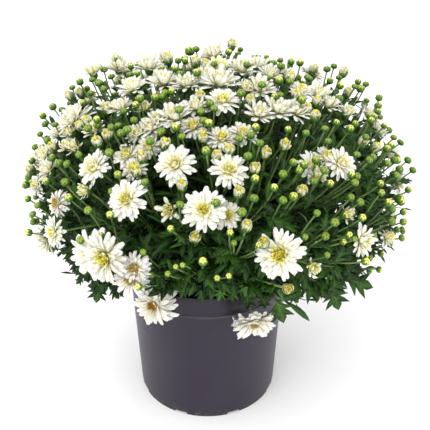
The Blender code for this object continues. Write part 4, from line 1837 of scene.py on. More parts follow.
class PotMaker:
    """The pot's fine surface: rolled lip, ridge, tapering wall, stepped foot with notches, and drain holes.

    An ease is a short slant that softens a corner, as (radius, height) away from that corner.
    """

    steps = 144
    wall, floor = 0.0018, 0.0026
    collar_radius, ridge_radius, wall_top_radius, foot_radius = 0.1012, 0.1026, 0.0996, 0.0912
    lip, ridge_round, foot_round = 0.0009, 0.0009, 0.0008
    ridge_level, ridge_thickness, collar_ease = 0.1670, 0.0028, 0.0006
    step_level, foot_level = 0.0060, 0.0012
    wall_eases = ((0.0003, 0.0008), (0.0, -0.001))
    step_radius = foot_radius + 0.0006
    step_eases = ((0.0006, 0.0003), (0.0001, -0.0002))
    floor_rings, under_rings = (0.0, 0.03, 0.066), (0.075, 0.045, 0.0)
    corner_ease, corner_level = 0.002, 0.005
    inner_levels, collar_levels = (0.03, 0.07, 0.11, 0.14), (0.188, 0.178)
    wall_rings = 9
    foot_lobes = 8
    notch_size, notch_round = (0.0140, 0.0180, 0.0072), 0.0012
    drain_ring, drain_radius, drain_sides = 0.0600, 0.0055, 32
    sharp_angle = 40.0

    def outline(self, height: float) -> list:
        """The pot's outline as (radius, height), from the middle of its floor over the lip to its underside.

        Args:
            height: the pot's height.

        Returns:
            The outline's points.
        """
        ridge_top = self.ridge_level + self.ridge_thickness / 2
        ridge_bottom = self.ridge_level - self.ridge_thickness / 2
        under = ridge_bottom - self.ridge_thickness / 2
        top, r = self.wall_top_radius, self.ridge_round
        collar_in, foot_in = self.collar_radius - self.wall, self.foot_radius - self.wall
        shares = [i / self.wall_rings for i in range(1, self.wall_rings)]
        return [
            *((radius, self.floor) for radius in self.floor_rings),
            (foot_in - self.corner_ease, self.floor),
            (foot_in, self.corner_level),
            *((self.inner(z, under), z) for z in self.inner_levels),
            (top - self.wall, under),
            (collar_in, ridge_top),
            (collar_in, height - self.lip),
            *self.arc(self.collar_radius - self.lip, height - self.lip, self.lip, 180, 0, 7),
            *((self.collar_radius, z) for z in (*self.collar_levels, ridge_top + self.collar_ease)),
            *self.arc(self.ridge_radius - r, ridge_top - r, r, 90, 0, 5),
            *self.arc(self.ridge_radius - r, ridge_bottom + r, r, 0, -90, 5),
            *((top + out, under + up) for out, up in self.wall_eases),
            *((top + (self.step_radius - top) * s, under + (self.step_level - under) * s) for s in shares),
            *((self.foot_radius + out, self.step_level + up) for out, up in self.step_eases),
            (self.foot_radius, self.foot_level),
            *self.arc(self.foot_radius - self.foot_round, self.foot_round, self.foot_round, 0, -90, 4),
            *((radius, 0.0) for radius in self.under_rings),
        ]

    def inner(self, z: float, under: float) -> float:
        """The inside radius at a level."""
        share = (z - self.floor) / (under - self.floor)
        return self.foot_radius + (self.wall_top_radius - self.foot_radius) * share - self.wall

    @staticmethod
    def arc(r: float, z: float, size: float, start: float, end: float, count: int) -> list:
        """Points as (radius, height) on a round edge, from one angle to another in degrees."""
        turns = [math.radians(start + (end - start) * i / (count - 1)) for i in range(count)]
        return [(r + size * math.cos(turn), z + size * math.sin(turn)) for turn in turns]

    def turned(self, name: str, outline: list) -> Object:
        """Turns an outline, which begins and ends on the axis, into a closed body.

        Args:
            name: the object's name.
            outline: the (radius, height) points.

        Returns:
            The object.
        """
        work = bmesh.new()
        rings = []
        for radius, height in outline:
            ring = ring_points(radius, height, self.steps) if radius else [(0, 0, height)]
            rings.append([work.verts.new(place) for place in ring])
        for first, second in zip(rings, rings[1:]):
            for i in range(self.steps):
                j = (i + 1) % self.steps
                ends = ((first, i), (second, i), (second, j), (first, j))
                corners = [ring[k % len(ring)] for ring, k in ends]
                work.faces.new(list(dict.fromkeys(corners)))
        bmesh.ops.recalc_face_normals(work, faces=work.faces)
        return Workbench.add(name, Workbench.settle(work, bpy.data.meshes.new(name)))

    def spot(self, lobe: float, radius: float) -> Matrix:
        """What moves a shape from the origin to a radius, at a lobe of the foot."""
        turn = Matrix.Rotation(2 * math.pi * lobe / self.foot_lobes, 4, "Z")
        return turn @ Matrix.Translation((radius, 0, 0))

    def notch(self, lobe: float) -> BMesh:
        """The rounded block that cuts one notch of the foot.

        Args:
            lobe: where it is, counted in lobes of the foot.

        Returns:
            The block.
        """
        work = bmesh.new()
        size = Matrix.Diagonal((*self.notch_size, 1))
        bmesh.ops.create_cube(work, size=1.0, matrix=self.spot(lobe, self.foot_radius) @ size)
        level = [e for e in work.edges if abs(e.verts[0].co.z - e.verts[1].co.z) < WELD]
        bmesh.ops.bevel(work, geom=level, offset=self.notch_round, segments=3, profile=0.5, affect="EDGES")
        return work

    def drain(self, lobe: float) -> BMesh:
        """The rod that cuts one drain hole.

        Args:
            lobe: where it is, counted in lobes of the foot.

        Returns:
            The rod.
        """
        work = bmesh.new()
        bmesh.ops.create_cone(
            work, cap_ends=True, segments=self.drain_sides, radius1=self.drain_radius,
            radius2=self.drain_radius, depth=4 * self.floor, matrix=self.spot(lobe, self.drain_ring),
        )
        return work

    @staticmethod
    def cut(pot: Object, work: BMesh) -> Object:
        """Cuts the pot with a shape.

        Args:
            pot: the pot.
            work: the shape.

        Returns:
            The shape's object, hidden, which is needed until the pot is finished.
        """
        cutter = Workbench.add("cutter", Workbench.settle(work, bpy.data.meshes.new("cutter")))
        cutter.hide_render = True
        knife = pot.modifiers.new("cut", "BOOLEAN")
        knife.operation = "DIFFERENCE"
        knife.object = cutter
        return cutter

    def make(self) -> None:
        """Builds the pot and hands it over in place of its CAD node."""
        pot = self.turned("pot_shell", self.outline(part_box("nursery_pot")[1].z))
        pot.data.materials.append(POT_PLASTIC.make())
        cutters = []
        for i in range(self.foot_lobes):
            cutters += [self.cut(pot, self.notch(i + 0.5)), self.cut(pot, self.drain(i))]
        Workbench.flatten(pot)
        for cutter in cutters:
            bpy.data.objects.remove(cutter)
        pot.data.shade_smooth()
        pot.data.set_sharp_from_angle(angle=math.radians(self.sharp_angle))
        Workbench.seat(pot, "pot", "nursery_pot", smooth=False)


class CompostMaker:
    """The compost: a heaped, crumbly surface strewn with crumbs, over a plain plug that the pot hides."""

    rings, sides = 26, 96
    side_gap, foot_gap = 0.0004, 0.0006
    sink, slope = 0.0016, 0.0020
    heave, heave_spread, most_heave = 0.0016, 0.4, 0.0014
    wave, wave_turns, wave_pace = 0.0010, 5, 9
    crumbs = 620
    crumb_size, crumb_shape = (0.0012, 0.0034), (1.0, 0.8, 0.7)
    crumb_dent, dent_pace = 0.22, 7.3
    crumb_sink, crumb_slope = 0.0022, 0.0015
    crumb_edge, crumb_spread = 0.004, (0.04, 1.0)

    def surface(self, low: Vector, high: Vector) -> Mesh:
        """The plug with an uneven top.

        Args:
            low: the lowest corner of the plug's box.
            high: the highest corner.

        Returns:
            The mesh.
        """
        chance = np.random.default_rng(41)
        top_radius = high.x - self.side_gap
        foot_radius = PotMaker.foot_radius - PotMaker.wall - self.foot_gap
        places, n = [(0.0, 0.0, high.z)], self.sides
        for ring in range(1, self.rings + 1):
            share = ring / self.rings
            for i, (x, y, level) in enumerate(ring_points(top_radius * share, high.z, n)):
                turn = self.wave_turns * 2 * math.pi * i / n + self.wave_pace * share
                lump = chance.normal(0, self.heave_spread) * self.heave + self.wave * math.sin(turn) * share
                places.append((x, y, level - self.sink - self.slope * share + min(lump, self.most_heave)))
        places += ring_points(foot_radius, low.z, n)
        faces = [(0, 1 + i, 1 + (i + 1) % n) for i in range(n)]
        faces += [(a, d, c, b) for a, b, c, d in wall_faces(self.rings + 1, n, 1)]
        faces.append(tuple(1 + self.rings * n + i for i in reversed(range(n))))
        return Workbench.shape("compost", places, faces, (COMPOST,))

    def crumb(self) -> Object:
        """A lumpy crumb of unit size."""
        work = bmesh.new()
        bmesh.ops.create_icosphere(work, subdivisions=1, radius=0.5)
        for i, vertex in enumerate(work.verts):
            vertex.co *= 1.0 + self.crumb_dent * math.sin(self.dent_pace * i)
        mesh = Workbench.settle(work, bpy.data.meshes.new("crumb"))
        mesh.materials.append(COMPOST.make())
        return Pattern.of_mesh(mesh)

    def make(self, scatter: ScatterTool) -> None:
        """Builds the compost and its crumbs in place of the CAD plug.

        Args:
            scatter: the tree that copies the crumbs.
        """
        low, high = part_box("growing_medium")
        chance = np.random.default_rng(7)
        copies = []
        for i in range(self.crumbs):
            radius = (high.x - self.crumb_edge) * math.sqrt(chance.uniform(*self.crumb_spread))
            size = chance.uniform(*self.crumb_size)
            turn = Matrix.Rotation(chance.uniform(0, FULL_TURN), 3, "Z")
            turn = turn @ Matrix.Rotation(chance.uniform(0, FULL_TURN), 3, "X")
            level = high.z - self.crumb_sink - self.crumb_slope * radius / high.x
            place = Vector((radius * math.cos(GOLDEN_ANGLE * i), radius * math.sin(GOLDEN_ANGLE * i), level))
            copies.append(Copy(place, turn, tuple(share * size for share in self.crumb_shape)))
        body = Workbench.add("compost", self.surface(low, high))
        shapes = Pattern.collected("crumbs", [self.crumb()])
        crumbs = scatter.spread("compost_crumbs", copies, shapes, COMPOST)
        Workbench.seat(Workbench.join("compost", [body, crumbs]), "compost", "growing_medium", smooth=False)


class FineCopy:
    """Smooth copies of CAD nodes whose shape is right but whose faces are coarse."""

    flat_angle = math.radians(1.0)

    @classmethod
    def make(cls, node: str, name: str, slot: str, finish: Finish, levels: int = 1) -> None:
        """Makes a smoothed copy of a node in its place.

        Args:
            node: the CAD node.
            name: the copy's name.
            slot: the material slot that it belongs to.
            finish: its finish.
            levels: how often its faces are divided.
        """
        mesh = frame["nodes"][node].data.copy()
        work = bmesh.new()
        work.from_mesh(mesh)
        bmesh.ops.remove_doubles(work, verts=work.verts, dist=WELD)
        bmesh.ops.dissolve_limit(work, angle_limit=cls.flat_angle, verts=work.verts, edges=work.edges)
        bmesh.ops.triangulate(work, faces=[f for f in work.faces if len(f.verts) > 4])
        Workbench.settle(work, mesh)
        mesh.materials.clear()
        mesh.materials.append(finish.make())
        made = Workbench.add(name, mesh)
        smoother = made.modifiers.new("smooth", "SUBSURF")
        smoother.levels = levels
        smoother.render_levels = levels
        Workbench.seat(Workbench.flatten(made), slot, node)


@dataclass(frozen=True)
class Leafing:
    """How leaves are set up a stalk.

    They grow between two shares of its length, low and high. Sizes are the longest leaf and the shortest,
    lowest leaf first, spread is their angle from the stalk in degrees, and narrow is the share of them that
    has the narrow shape.
    """

    low: float
    high: float
    count: int
    sizes: tuple
    spread: float
    narrow: float

    def shares(self) -> list:
        """How far up the stalk each leaf grows."""
        return [self.low + (self.high - self.low) * i / (self.count - 1) for i in range(self.count)]


SPRAY_LEAVES = Leafing(0.20, 0.98, 9, (0.046, 0.036), 60, 0.15)
STALK_LEAVES = Leafing(0.16, 0.80, 3, (0.034, 0.016), 48, 0.6)
LONG_STALK_LEAVES = replace(STALK_LEAVES, count=4)
STEM_LEAVES = Leafing(0.20, 0.86, 10, (0.048, 0.034), 64, 0.1)
SHOOT_LEAVES = Leafing(0.38, 1.0, 9, (0.047, 0.035), 58, 0.12)


class Plant:
    """Everything that grows: where each head, bud, stalk and leaf is, and the meshes that show them."""

    extra_heads, extra_buds = 96, 640
    head_spacing, bud_spacing = 0.030, 0.0135
    head_widths, bud_widths = (0.030, 0.042), (0.0082, 0.0108)
    cup_share, open_share, cup_row = 1.28, 1.08, 118
    seen_bud_width, bud_clear, low_row = (0.0082, 0.0104), 0.013, 225.0
    seen_bud_skip, low_bud_share = 0.80, 0.8
    ripe_below, ripe_above, cad_ripe = 0.2, 0.55, 0.7
    shoot_level, shoot_lean = 0.168, 0.20
    least_height, back_start = 0.165, 0.06
    middle_height = 58
    cluster, rounds = 5, 4
    inner_shoots, rim_shoots, least_rim_reach = 124, 34, 0.45
    deep_spots, deep_reach, deep_leaf = 640, (0.85, 0.90), 0.026
    flank_azimuths, flank_top = (46.0, 106.0), 36.0
    stalk_sides, head_stalk, bud_stalk, stalk_taper = 6, 0.00122, 0.00095, 1.15
    leafy_length, long_length = 0.030, 0.050
    leaf_sizes, leaf_lean, leaf_lift, leaf_raise, leaf_roll = (0.82, 1.15), 9, 0.12, 0.5, 0.25
    # The tone factor for leaves above the shade level is painted shade on the upper foliage.
    leaf_face, leaf_tones, high_tone, shade_level = (0.6, 0.8, 0.1), (0.05, 2.2), 0.5, 0.25
    tip_room, tip_slack, short_share, narrow_kind = 0.004, 0.0005, 0.6, 2
    head_room, full_chance, seen_lean = 0.4, 0.5, 6.0
    bud_room, bud_middle, bud_lean, bud_blur, bud_reach, bud_slope = 0.6, 0.4, 34.0, 0.12, 1.03, 0.0020
    opening_reach, opening_lean = 1.015, 24.0
    node_shares, node_blur, fork_shares, shoot_shares = (0.56, 0.68), 0.004, (0.14, 0.42), (0.08, 0.34)
    spray_stalk, shoot_stalk, leaf_stalk, moved_stalk = (
        (0.0021, 0.0017), (0.0015, 0.0010), (0.0010, 0.0006), (0.0013, 0.0013)
    )
    stalk_bite, hem_root, hem_drop, hem_widths, tip_forward = 0.0004, 0.45, 0.012, (1.25, 0.65), 0.006
    # The very dark tone of the leaves inside the flanks is painted shade.
    deep_width, deep_tone = 1.2, 0.06

    def __init__(self, view: Viewpoint, room: Limits) -> None:
        """Takes the viewpoint that the seen heads are placed from and the room that there is."""
        self.view = view
        self.room = room
        self.dome = Dome()
        self.chance = random.Random(2024)
        self.scatter = ScatterTool()
        self.stalks = StalkTool()
        self.heads = HeadMaker(WhorlTool())
        self.groups: dict = {stem.name: {"heads": [], "buds": []} for stem in MAIN_STEMS}
        blades = (LEAF_FLAT, LEAF_BLADE, LEAF_NARROW)
        self.leaves = Pattern.collected("leaf_shapes", [Pattern.of(blade) for blade in blades])
        self.buds = Pattern.collected("bud_shapes", [shape.make() for shape in BUD_SHAPES])
        self.cad_heads: dict = {}
        self.stem_ends: dict = {}
        self.loose_stalks: list = []

    def read_frame(self) -> None:
        """Reads where the CAD model's flower heads stand."""
        for name in sorted(frame["nodes"]):
            if name.startswith("flower_head_"):
                number = int(name[-2:])
                seat, way, width = symmetry_pose(name)
                stage = CAD_STAGES.get(number, Stage.OPEN)
                self.cad_heads[number] = Placed(seat, way, width, stage, node=name)
        for stem in MAIN_STEMS:
            head = self.cad_heads[stem.first_head]
            self.stem_ends[stem.name] = (head.seat, head.way)
        for number, way in CAD_TILTS.items():
            self.cad_heads[number].way = Vector(way).normalized()
        for number, width in CAD_WIDTHS.items():
            self.cad_heads[number].width = width
        for number, shift in CAD_SHIFTS.items():
            head = self.cad_heads[number]
            start, head.seat = head.seat, head.seat + Vector(shift)
            line = [start, (start + head.seat) / 2, head.seat + 0.001 * head.way]
            self.loose_stalks.append(Run(line, *self.moved_stalk))

    def jitter(self, size: float) -> Vector:
        """A small random vector."""
        return Vector([self.chance.gauss(0, size) for _ in range(3)])

    def hangs_low(self, place: Vector, spare: float = 0.0) -> bool:
        """Whether a place lies lower than the foliage reaches.

        Args:
            place: the place.
            spare: how many pixels higher than that still count as low.

        Returns:
            True if nothing should grow there.
        """
        if place.z < self.least_height:
            return True
        if place.y > self.back_start:
            return False
        x, y = self.view.project(place)
        for (left, first), (right, last) in zip(HEM, HEM[1:]):
            if left <= x <= right:
                return y > first + (last - first) * (x - left) / (right - left) - spare
        return True

    def on_flank(self, place: Vector) -> bool:
        """Whether a place lies on the plant's left or right side, where leaves darkened as painted shade
        close the view.
        """
        low, high = self.flank_azimuths
        return low < abs(self.dome.azimuth(place)) < high and self.dome.height(place) < self.flank_top

    def facing(self, place: Vector, lean: float, spread: float) -> Vector:
        """The way that a flower at a place faces: out of the dome, leaning up, with a small difference.

        Args:
            place: the place on the dome.
            lean: how far it leans up, in degrees.
            spread: the size of the random part.

        Returns:
            The direction.
        """
        way = self.dome.normal(place)
        way = (way + math.tan(math.radians(lean)) * (UP - UP.dot(way) * way)).normalized()
        return (way + self.jitter(spread)).normalized()

    def group_of(self, place: Vector) -> str:
        """The main stem that a place belongs to.

        Args:
            place: the place.

        Returns:
            The stem's name.
        """
        if self.dome.height(place) > self.middle_height:
            return MAIN_STEMS[-1].name
        azimuth = self.dome.azimuth(place) - FIRST_AZIMUTH
        apart = 360.0 / OUTER_STEMS
        turns = [abs((azimuth - apart * stem.place + 180) % 360 - 180) for stem in MAIN_STEMS[:-1]]
        return MAIN_STEMS[turns.index(min(turns))].name

    def add_head(self, place: Vector, width: float, stage: Stage, lean: float, spread: float = 0.08) -> None:
        """Adds a flower head whose face is at a place. Half of the open ones become full.

        Args:
            place: where its face is.
            width: its width.
            stage: how far it has opened.
            lean: how far it leans up, in degrees.
            spread: the size of the random part of the way that it faces.
        """
        place = self.room.reach_in(place, self.head_room * width, self.dome)
        way = self.facing(place, lean, spread)
        seat = place - self.heads.size.face * way
        if stage is Stage.OPEN and self.chance.random() < self.full_chance:
            stage = Stage.FULL
        self.groups[self.group_of(place)]["heads"].append(Placed(seat, way, width, stage, face=place))

    def add_bud(self, place: Vector, width: float, ripe: float) -> None:
        """Adds a closed bud whose middle is at a place.

        Args:
            place: where its middle is.
            width: its width.
            ripe: how ripe it is, from 0 to 1.
        """
        place = self.room.reach_in(place, self.bud_room * width, self.dome)
        way = self.facing(place, self.bud_lean, self.bud_blur)
        seat = place - self.bud_middle * width * way
        self.groups[self.group_of(place)]["buds"].append(Placed(seat, way, width, ripe=ripe, face=place))

    def place_seen(self) -> None:
        """Places the heads and buds that the picture shows."""
        for seen in SEEN_HEADS:
            place = self.view.onto(self.dome, seen.x, seen.y, seen.reach)
            stage = Stage.CUP if seen.stage is Stage.OPEN and seen.y < self.cup_row else seen.stage
            share = self.cup_share if stage is Stage.CUP else self.open_share
            self.add_head(place, seen.width * self.view.pixel_size(place) * share, stage,
                          self.seen_lean + seen.lean)
        for x, y in SEEN_OPENING:
            place = self.view.onto(self.dome, x, y, self.opening_reach)
            width = self.heads.size.opening_width
            self.add_head(place, width, Stage.OPENING, self.opening_lean, self.bud_blur)
        faces = [head.seat + self.heads.size.face * head.way for head in self.cad_heads.values()]
        faces += [thing.face for group in self.groups.values() for thing in group["heads"]]
        for number, (x, y) in enumerate(SEEN_BUDS):
            reach = self.bud_reach - self.bud_slope * max(0.0, y - self.low_row)
            place = self.view.onto(self.dome, x, y, reach)
            share = 1.0 if y < self.low_row else self.low_bud_share
            width = self.chance.uniform(*self.seen_bud_width) * share
            if min((place - face).length for face in faces) < self.bud_clear:
                place = place + self.bud_clear * (self.view.place - place).normalized()
            self.add_bud(place, width, self.chance.uniform(0, 1) * (0.9 if number % 3 else 1.0))

    def place_hidden(self) -> None:
        """Places heads and buds where the picture doesn't reach, and a few buds between the seen ones."""
        taken = [head.seat for head in self.cad_heads.values()]
        taken += [thing.face for group in self.groups.values() for thing in group["heads"]]
        stages = [Stage.OPEN, Stage.CUP, Stage.OPEN, Stage.HALF_OPEN, Stage.OPEN, Stage.CUP, Stage.OPENING]
        for number, place in enumerate(spread_points(self.dome, self.extra_heads, 11, -14, (0.96, 1.0))):
            seen = self.view.sees(place, self.dome.normal(place))
            near = min((place - other).length for other in taken)
            if seen or near < self.head_spacing or self.hangs_low(place, 16.0):
                continue
            stage = stages[number % len(stages)]
            opening = stage is Stage.OPENING
            width = self.heads.size.opening_width if opening else self.chance.uniform(*self.head_widths)
            self.add_head(place, width, stage, 8.0)
            taken.append(place)
        taken += [thing.face for group in self.groups.values() for thing in group["buds"]]
        for place in spread_points(self.dome, self.extra_buds, 23, -24, (0.97, 1.04)):
            seen = self.view.sees(place, self.dome.normal(place))
            near = min((place - other).length for other in taken)
            if near < self.bud_spacing or (seen and self.chance.random() < self.seen_bud_skip):
                continue
            if not self.hangs_low(place, 8.0):
                self.add_bud(place, self.chance.uniform(*self.bud_widths), self.chance.uniform(0, 1))
                taken.append(place)

    def stem_line(self, stem: MainStem, share: float) -> Vector:
        """A point of a main stem's middle line.

        Args:
            stem: the main stem.
            share: how far up the stem it lies, from 0 to 1.

        Returns:
            The point.
        """
        low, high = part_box("root_crown")
        radius = (high.x - low.x) / 2
        up = SEAT_ANGLE if stem.place < OUTER_STEMS else MIDDLE_SEAT_ANGLE
        out = direction(FIRST_AZIMUTH + 360.0 * stem.place / OUTER_STEMS, up)
        start = Vector((0.0, 0.0, high.z - radius)) + radius * out
        end, way = self.stem_ends[stem.name]
        length = (end - start).length
        return along_curve(start, STEM_LEAVE * length * out, end, STEM_ARRIVE * length * way, share)

    def clusters(self, things: list) -> list:
        """Groups things that lie near each other.

        Args:
            things: heads and buds of one main stem.

        Returns:
            Lists of neighbours, about as many in each as a spray carries.
        """
        count = max(1, round(len(things) / self.cluster))
        places = np.array([tuple(thing.face) for thing in things])
        picked = [0]
        for _ in range(count - 1):
            gaps = np.linalg.norm(places[:, None] - places[picked][None], axis=2).min(1)
            picked.append(int(gaps.argmax()))
        middles = places[picked]
        for _ in range(self.rounds):
            nearest = np.linalg.norm(places[:, None] - middles[None], axis=2).argmin(1)
            for i in range(count):
                if (nearest == i).any():
                    middles[i] = places[nearest == i].mean(0)
        found = [np.flatnonzero(nearest == i) for i in range(count)]
        return [[things[j] for j in members] for members in found if len(members)]

    @staticmethod
    def curve(start: Vector, leave: Vector, end: Vector, way: Vector, steps: int, bend: float = 0.7) -> list:
        """Points on a stalk's middle line.

        Args:
            start: where it starts.
            leave: the direction that it starts in.
            end: where it ends.
            way: the direction that it ends in.
            steps: how many pieces it has.
            bend: how strongly it keeps to its two directions.

        Returns:
            The points.
        """
        reach = (end - start).length
        straight = (end - start).normalized()
        first = reach * (bend * leave.normalized() + (1 - bend) * straight)
        last = reach * (bend * way.normalized() + (1 - bend) * straight)
        return [along_curve(start, first, end, last, i / steps) for i in range(steps + 1)]

    def leaf_at(self, line: list, share: float, turn: float, size: float, spread: float,
                narrow: bool) -> Copy | None:
        """A leaf that grows out of a stalk.

        Args:
            line: the stalk's points.
            share: how far up the stalk it grows.
            turn: which side of the stalk it grows on, in radians.
            size: its length.
            spread: its angle from the stalk, in degrees.
            narrow: whether it is a narrow upper leaf.

        Returns:
            The copy to make, or None if it would hang too low.
        """
        place = share * (len(line) - 1)
        i = min(int(place), len(line) - 2)
        foot = line[i].lerp(line[i + 1], place - i)
        ahead = (line[i + 1] - line[i]).normalized()
        side = Matrix.Rotation(turn, 3, ahead) @ ahead.orthogonal().normalized()
        angle = math.radians(spread)
        way = (math.cos(angle) * ahead + math.sin(angle) * side + self.leaf_lift * UP).normalized()
        for _ in range(3):
            if not self.hangs_low(foot + size * (way - self.leaf_lift * UP)):
                break
            way = (way + self.leaf_raise * UP).normalized()
        else:
            return None
        stalk_part, up_part, way_part = self.leaf_face
        up = (ahead * stalk_part + UP * up_part - way * way_part).normalized()
        kind = self.narrow_kind if narrow else self.chance.randrange(self.narrow_kind)
        least, power = self.leaf_tones
        tone = least + (1.0 - least) * self.chance.random() ** power
        # Painted shade: leaves that grow above the shade level get a darker tone.
        tone *= 1.0 if foot.z < self.shade_level else self.high_tone
        turned = basis(way, up, self.chance.gauss(0, self.leaf_roll))
        copy = Copy(foot, turned, (size, size, size), kind, tone)
        tip = foot + size * way
        kept = self.room.reach_in(tip, self.tip_room, self.dome)
        if (kept - tip).length > self.tip_slack:
            copy.size = tuple(self.short_share * s for s in copy.size)
        return copy

    def leaves_on(self, line: list, leafing: Leafing) -> list:
        """Leaves set alternately up a stalk.

        Args:
            line: the stalk's points.
            leafing: how they are set.

        Returns:
            The copies to make.
        """
        first = self.chance.uniform(0, FULL_TURN)
        longest, shortest = leafing.sizes
        made = []
        for number, share in enumerate(leafing.shares()):
            size = longest + (shortest - longest) * share
            size *= self.chance.uniform(*self.leaf_sizes)
            lean = leafing.spread + self.chance.gauss(0, self.leaf_lean)
            thin = self.chance.random() < leafing.narrow
            made.append(self.leaf_at(line, share, first + GOLDEN_ANGLE * number, size, lean, thin))
        return [copy for copy in made if copy]

    def grow_group(self, stem: MainStem) -> None:
        """Makes the flowers, buds, stalks and leaves that one main stem carries beside its CAD ones.

        Args:
            stem: the main stem.
        """
        group = self.groups[stem.name]
        runs, leaves = [], []
        for bunch in self.clusters(group["heads"] + group["buds"]):
            middle = sum((thing.face for thing in bunch), Vector()) / len(bunch)
            base = Vector((self.shoot_lean * middle.x, self.shoot_lean * middle.y, self.shoot_level))
            up = self.chance.uniform(*self.node_shares)
            node = base + (middle - base) * up + self.jitter(self.node_blur)
            fork = self.stem_line(stem, self.chance.uniform(*self.fork_shares))
            out = (node - fork).normalized()
            line = self.curve(fork, out + 0.6 * UP, node, (middle - node).normalized() + 0.4 * out, 7, 0.6)
            runs.append(Run(line, *self.spray_stalk))
            leaves += self.leaves_on(line, SPRAY_LEAVES)
            for thing in bunch:
                start = line[-1 - self.chance.randrange(2)]
                ahead = (line[-1] - line[-2]).normalized()
                end = thing.seat + self.stalk_bite * thing.way
                stalk = self.curve(start, ahead, end, thing.way, 6, 0.55)
                thick = self.head_stalk if thing.stage else self.bud_stalk
                runs.append(Run(stalk, thick * self.stalk_taper, thick))
                length = (thing.seat - start).length
                if length > self.leafy_length:
                    leafing = LONG_STALK_LEAVES if length > self.long_length else STALK_LEAVES
                    leaves += self.leaves_on(stalk, leafing)
        leaves += self.leaves_on([self.stem_line(stem, i / 12) for i in range(13)], STEM_LEAVES)
        flowers = [self.heads.make(f"flower_{stem.name}", head, False) for head in group["heads"]]
        if flowers:
            Workbench.seat(Workbench.join(f"flowers_{stem.name}", flowers), "petal")
        copies = [self.bud_copy(bud) for bud in group["buds"]]
        Workbench.seat(self.scatter.spread(f"buds_{stem.name}", copies, self.buds, BUD_GREEN), "bud")
        self.show(stem.name, runs, leaves)

    def show(self, name: str, runs: list, leaves: list) -> None:
        """Builds the stalks and the leaves of a main stem's group or of the filling."""
        Workbench.seat(self.stalks.draw(f"stalks_{name}", runs, self.stalk_sides, STEM_GREEN), "stem")
        Workbench.seat(self.scatter.spread(f"foliage_{name}", leaves, self.leaves, LEAF_GREEN), "leaf")

    def bud_copy(self, bud: Placed) -> Copy:
        """The copy of a bud's shape that shows it.

        Args:
            bud: the bud.

        Returns:
            The copy.
        """
        kind = 2 if bud.ripe < self.ripe_below else 1 if bud.ripe > self.ripe_above else 0
        turn = standing(bud.way, self.chance.uniform(0, FULL_TURN))
        return Copy(bud.seat, turn, (bud.width,) * 3, kind, bud.ripe)

    def leafy_shoot(self, end: Vector, runs: list, leaves: list) -> None:
        """Makes a leafy side shoot without flowers.

        Args:
            end: where its tip is.
            runs: the stalks, which its own joins.
            leaves: the leaves, which its own join.
        """
        stem = next(stem for stem in MAIN_STEMS if stem.name == self.group_of(end))
        start = self.stem_line(stem, self.chance.uniform(*self.shoot_shares))
        out = (end - start).normalized()
        line = self.curve(start, out + 0.7 * UP, end, out + 0.1 * UP, 7)
        runs.append(Run(line, *self.shoot_stalk))
        leaves += self.leaves_on(line, SHOOT_LEAVES)

    def fill(self) -> None:
        """Makes the leafy shoots, the leaves seen at the hem and the leaves inside the flanks, darkened as
        painted shade.
        """
        runs, leaves = list(self.loose_stalks), []
        for end in spread_points(self.dome, self.inner_shoots, 5, -26, (0.56, 0.88)):
            self.leafy_shoot(end, runs, leaves)
        for number in range(self.rim_shoots):
            azimuth = 360.0 * number / self.rim_shoots + self.chance.gauss(0, 4)
            height, reach = self.chance.uniform(-42, -18), self.chance.uniform(0.72, 0.88)
            end = self.dome.point(azimuth, height, reach)
            while self.hangs_low(end, 14.0) and reach > self.least_rim_reach:
                reach -= 0.04
                end = self.dome.point(azimuth, max(height, -24.0), reach)
            self.leafy_shoot(end, runs, leaves)
        for leaf in SEEN_LEAVES:
            foot = self.view.at_depth(*leaf.foot, leaf.depth)
            tip = self.view.at_depth(*leaf.tip, leaf.depth - self.tip_forward)
            size = (tip - foot).length
            wide = self.hem_widths[leaf.narrow] * size
            face = (self.view.place - foot).normalized() + 0.5 * UP
            kind = self.narrow_kind if leaf.narrow else 0
            # The seen leaf's tone is partly painted light and shade.
            leaves.append(Copy(foot, basis(tip - foot, face), (size, wide, size), kind, leaf.tone))
            inside = Vector((self.hem_root * foot.x, self.hem_root * foot.y, foot.z + self.hem_drop))
            runs.append(Run(self.curve(inside, foot - inside, foot, tip - foot, 4), *self.leaf_stalk))
        leaves += self.deep_leaves()
        self.show("filling", runs, leaves)

    def deep_leaves(self) -> list:
        """Two leaves, square to the view and darkened as painted shade, at each of the places inside the
        flanks.
        """
        copies, size = [], self.deep_leaf
        for number, place in enumerate(spread_points(self.dome, self.deep_spots, 31, -34, self.deep_reach)):
            if not self.on_flank(place) or self.hangs_low(place):
                continue
            face = (self.view.place - place).normalized()
            for turn in (GOLDEN_ANGLE * number, GOLDEN_ANGLE * number + 2.1):
                way = Matrix.Rotation(turn, 3, face) @ face.orthogonal().normalized()
                foot = place - 0.5 * size * way
                turned = basis(way, face + 0.4 * UP)
                # Painted shade: these leaves get a very dark tone to stand for the shade inside the flanks.
                copies.append(Copy(foot, turned, (size, self.deep_width * size, size), 0, self.deep_tone))
        return copies

    def dress_cad(self) -> None:
        """Makes the fine pieces that stand for the CAD stems, heads, buds and leaves."""
        for stem in MAIN_STEMS:
            FineCopy.make(f"stem_{stem.name}", f"{stem.name}_stem", "stem", STEM_GREEN)
        for number, head in sorted(self.cad_heads.items()):
            Workbench.seat(self.heads.make(f"head_{number:02d}", head, True), "petal", head.node)
        for name in sorted(frame["nodes"]):
            if name.startswith("flower_bud_"):
                low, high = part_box(name)
                middle = (low + high) / 2
                width = max(high - low)
                way = self.facing(middle, 8.0, 0.0)
                bud = Placed(middle - 0.42 * width * way, way, width, ripe=self.cad_ripe)
                made = self.scatter.spread(f"bud_{name[-2:]}", [self.bud_copy(bud)], self.buds, BUD_GREEN)
                Workbench.seat(made, "bud", name)
            elif name.startswith("leaf_"):
                self.fine_leaf(name)

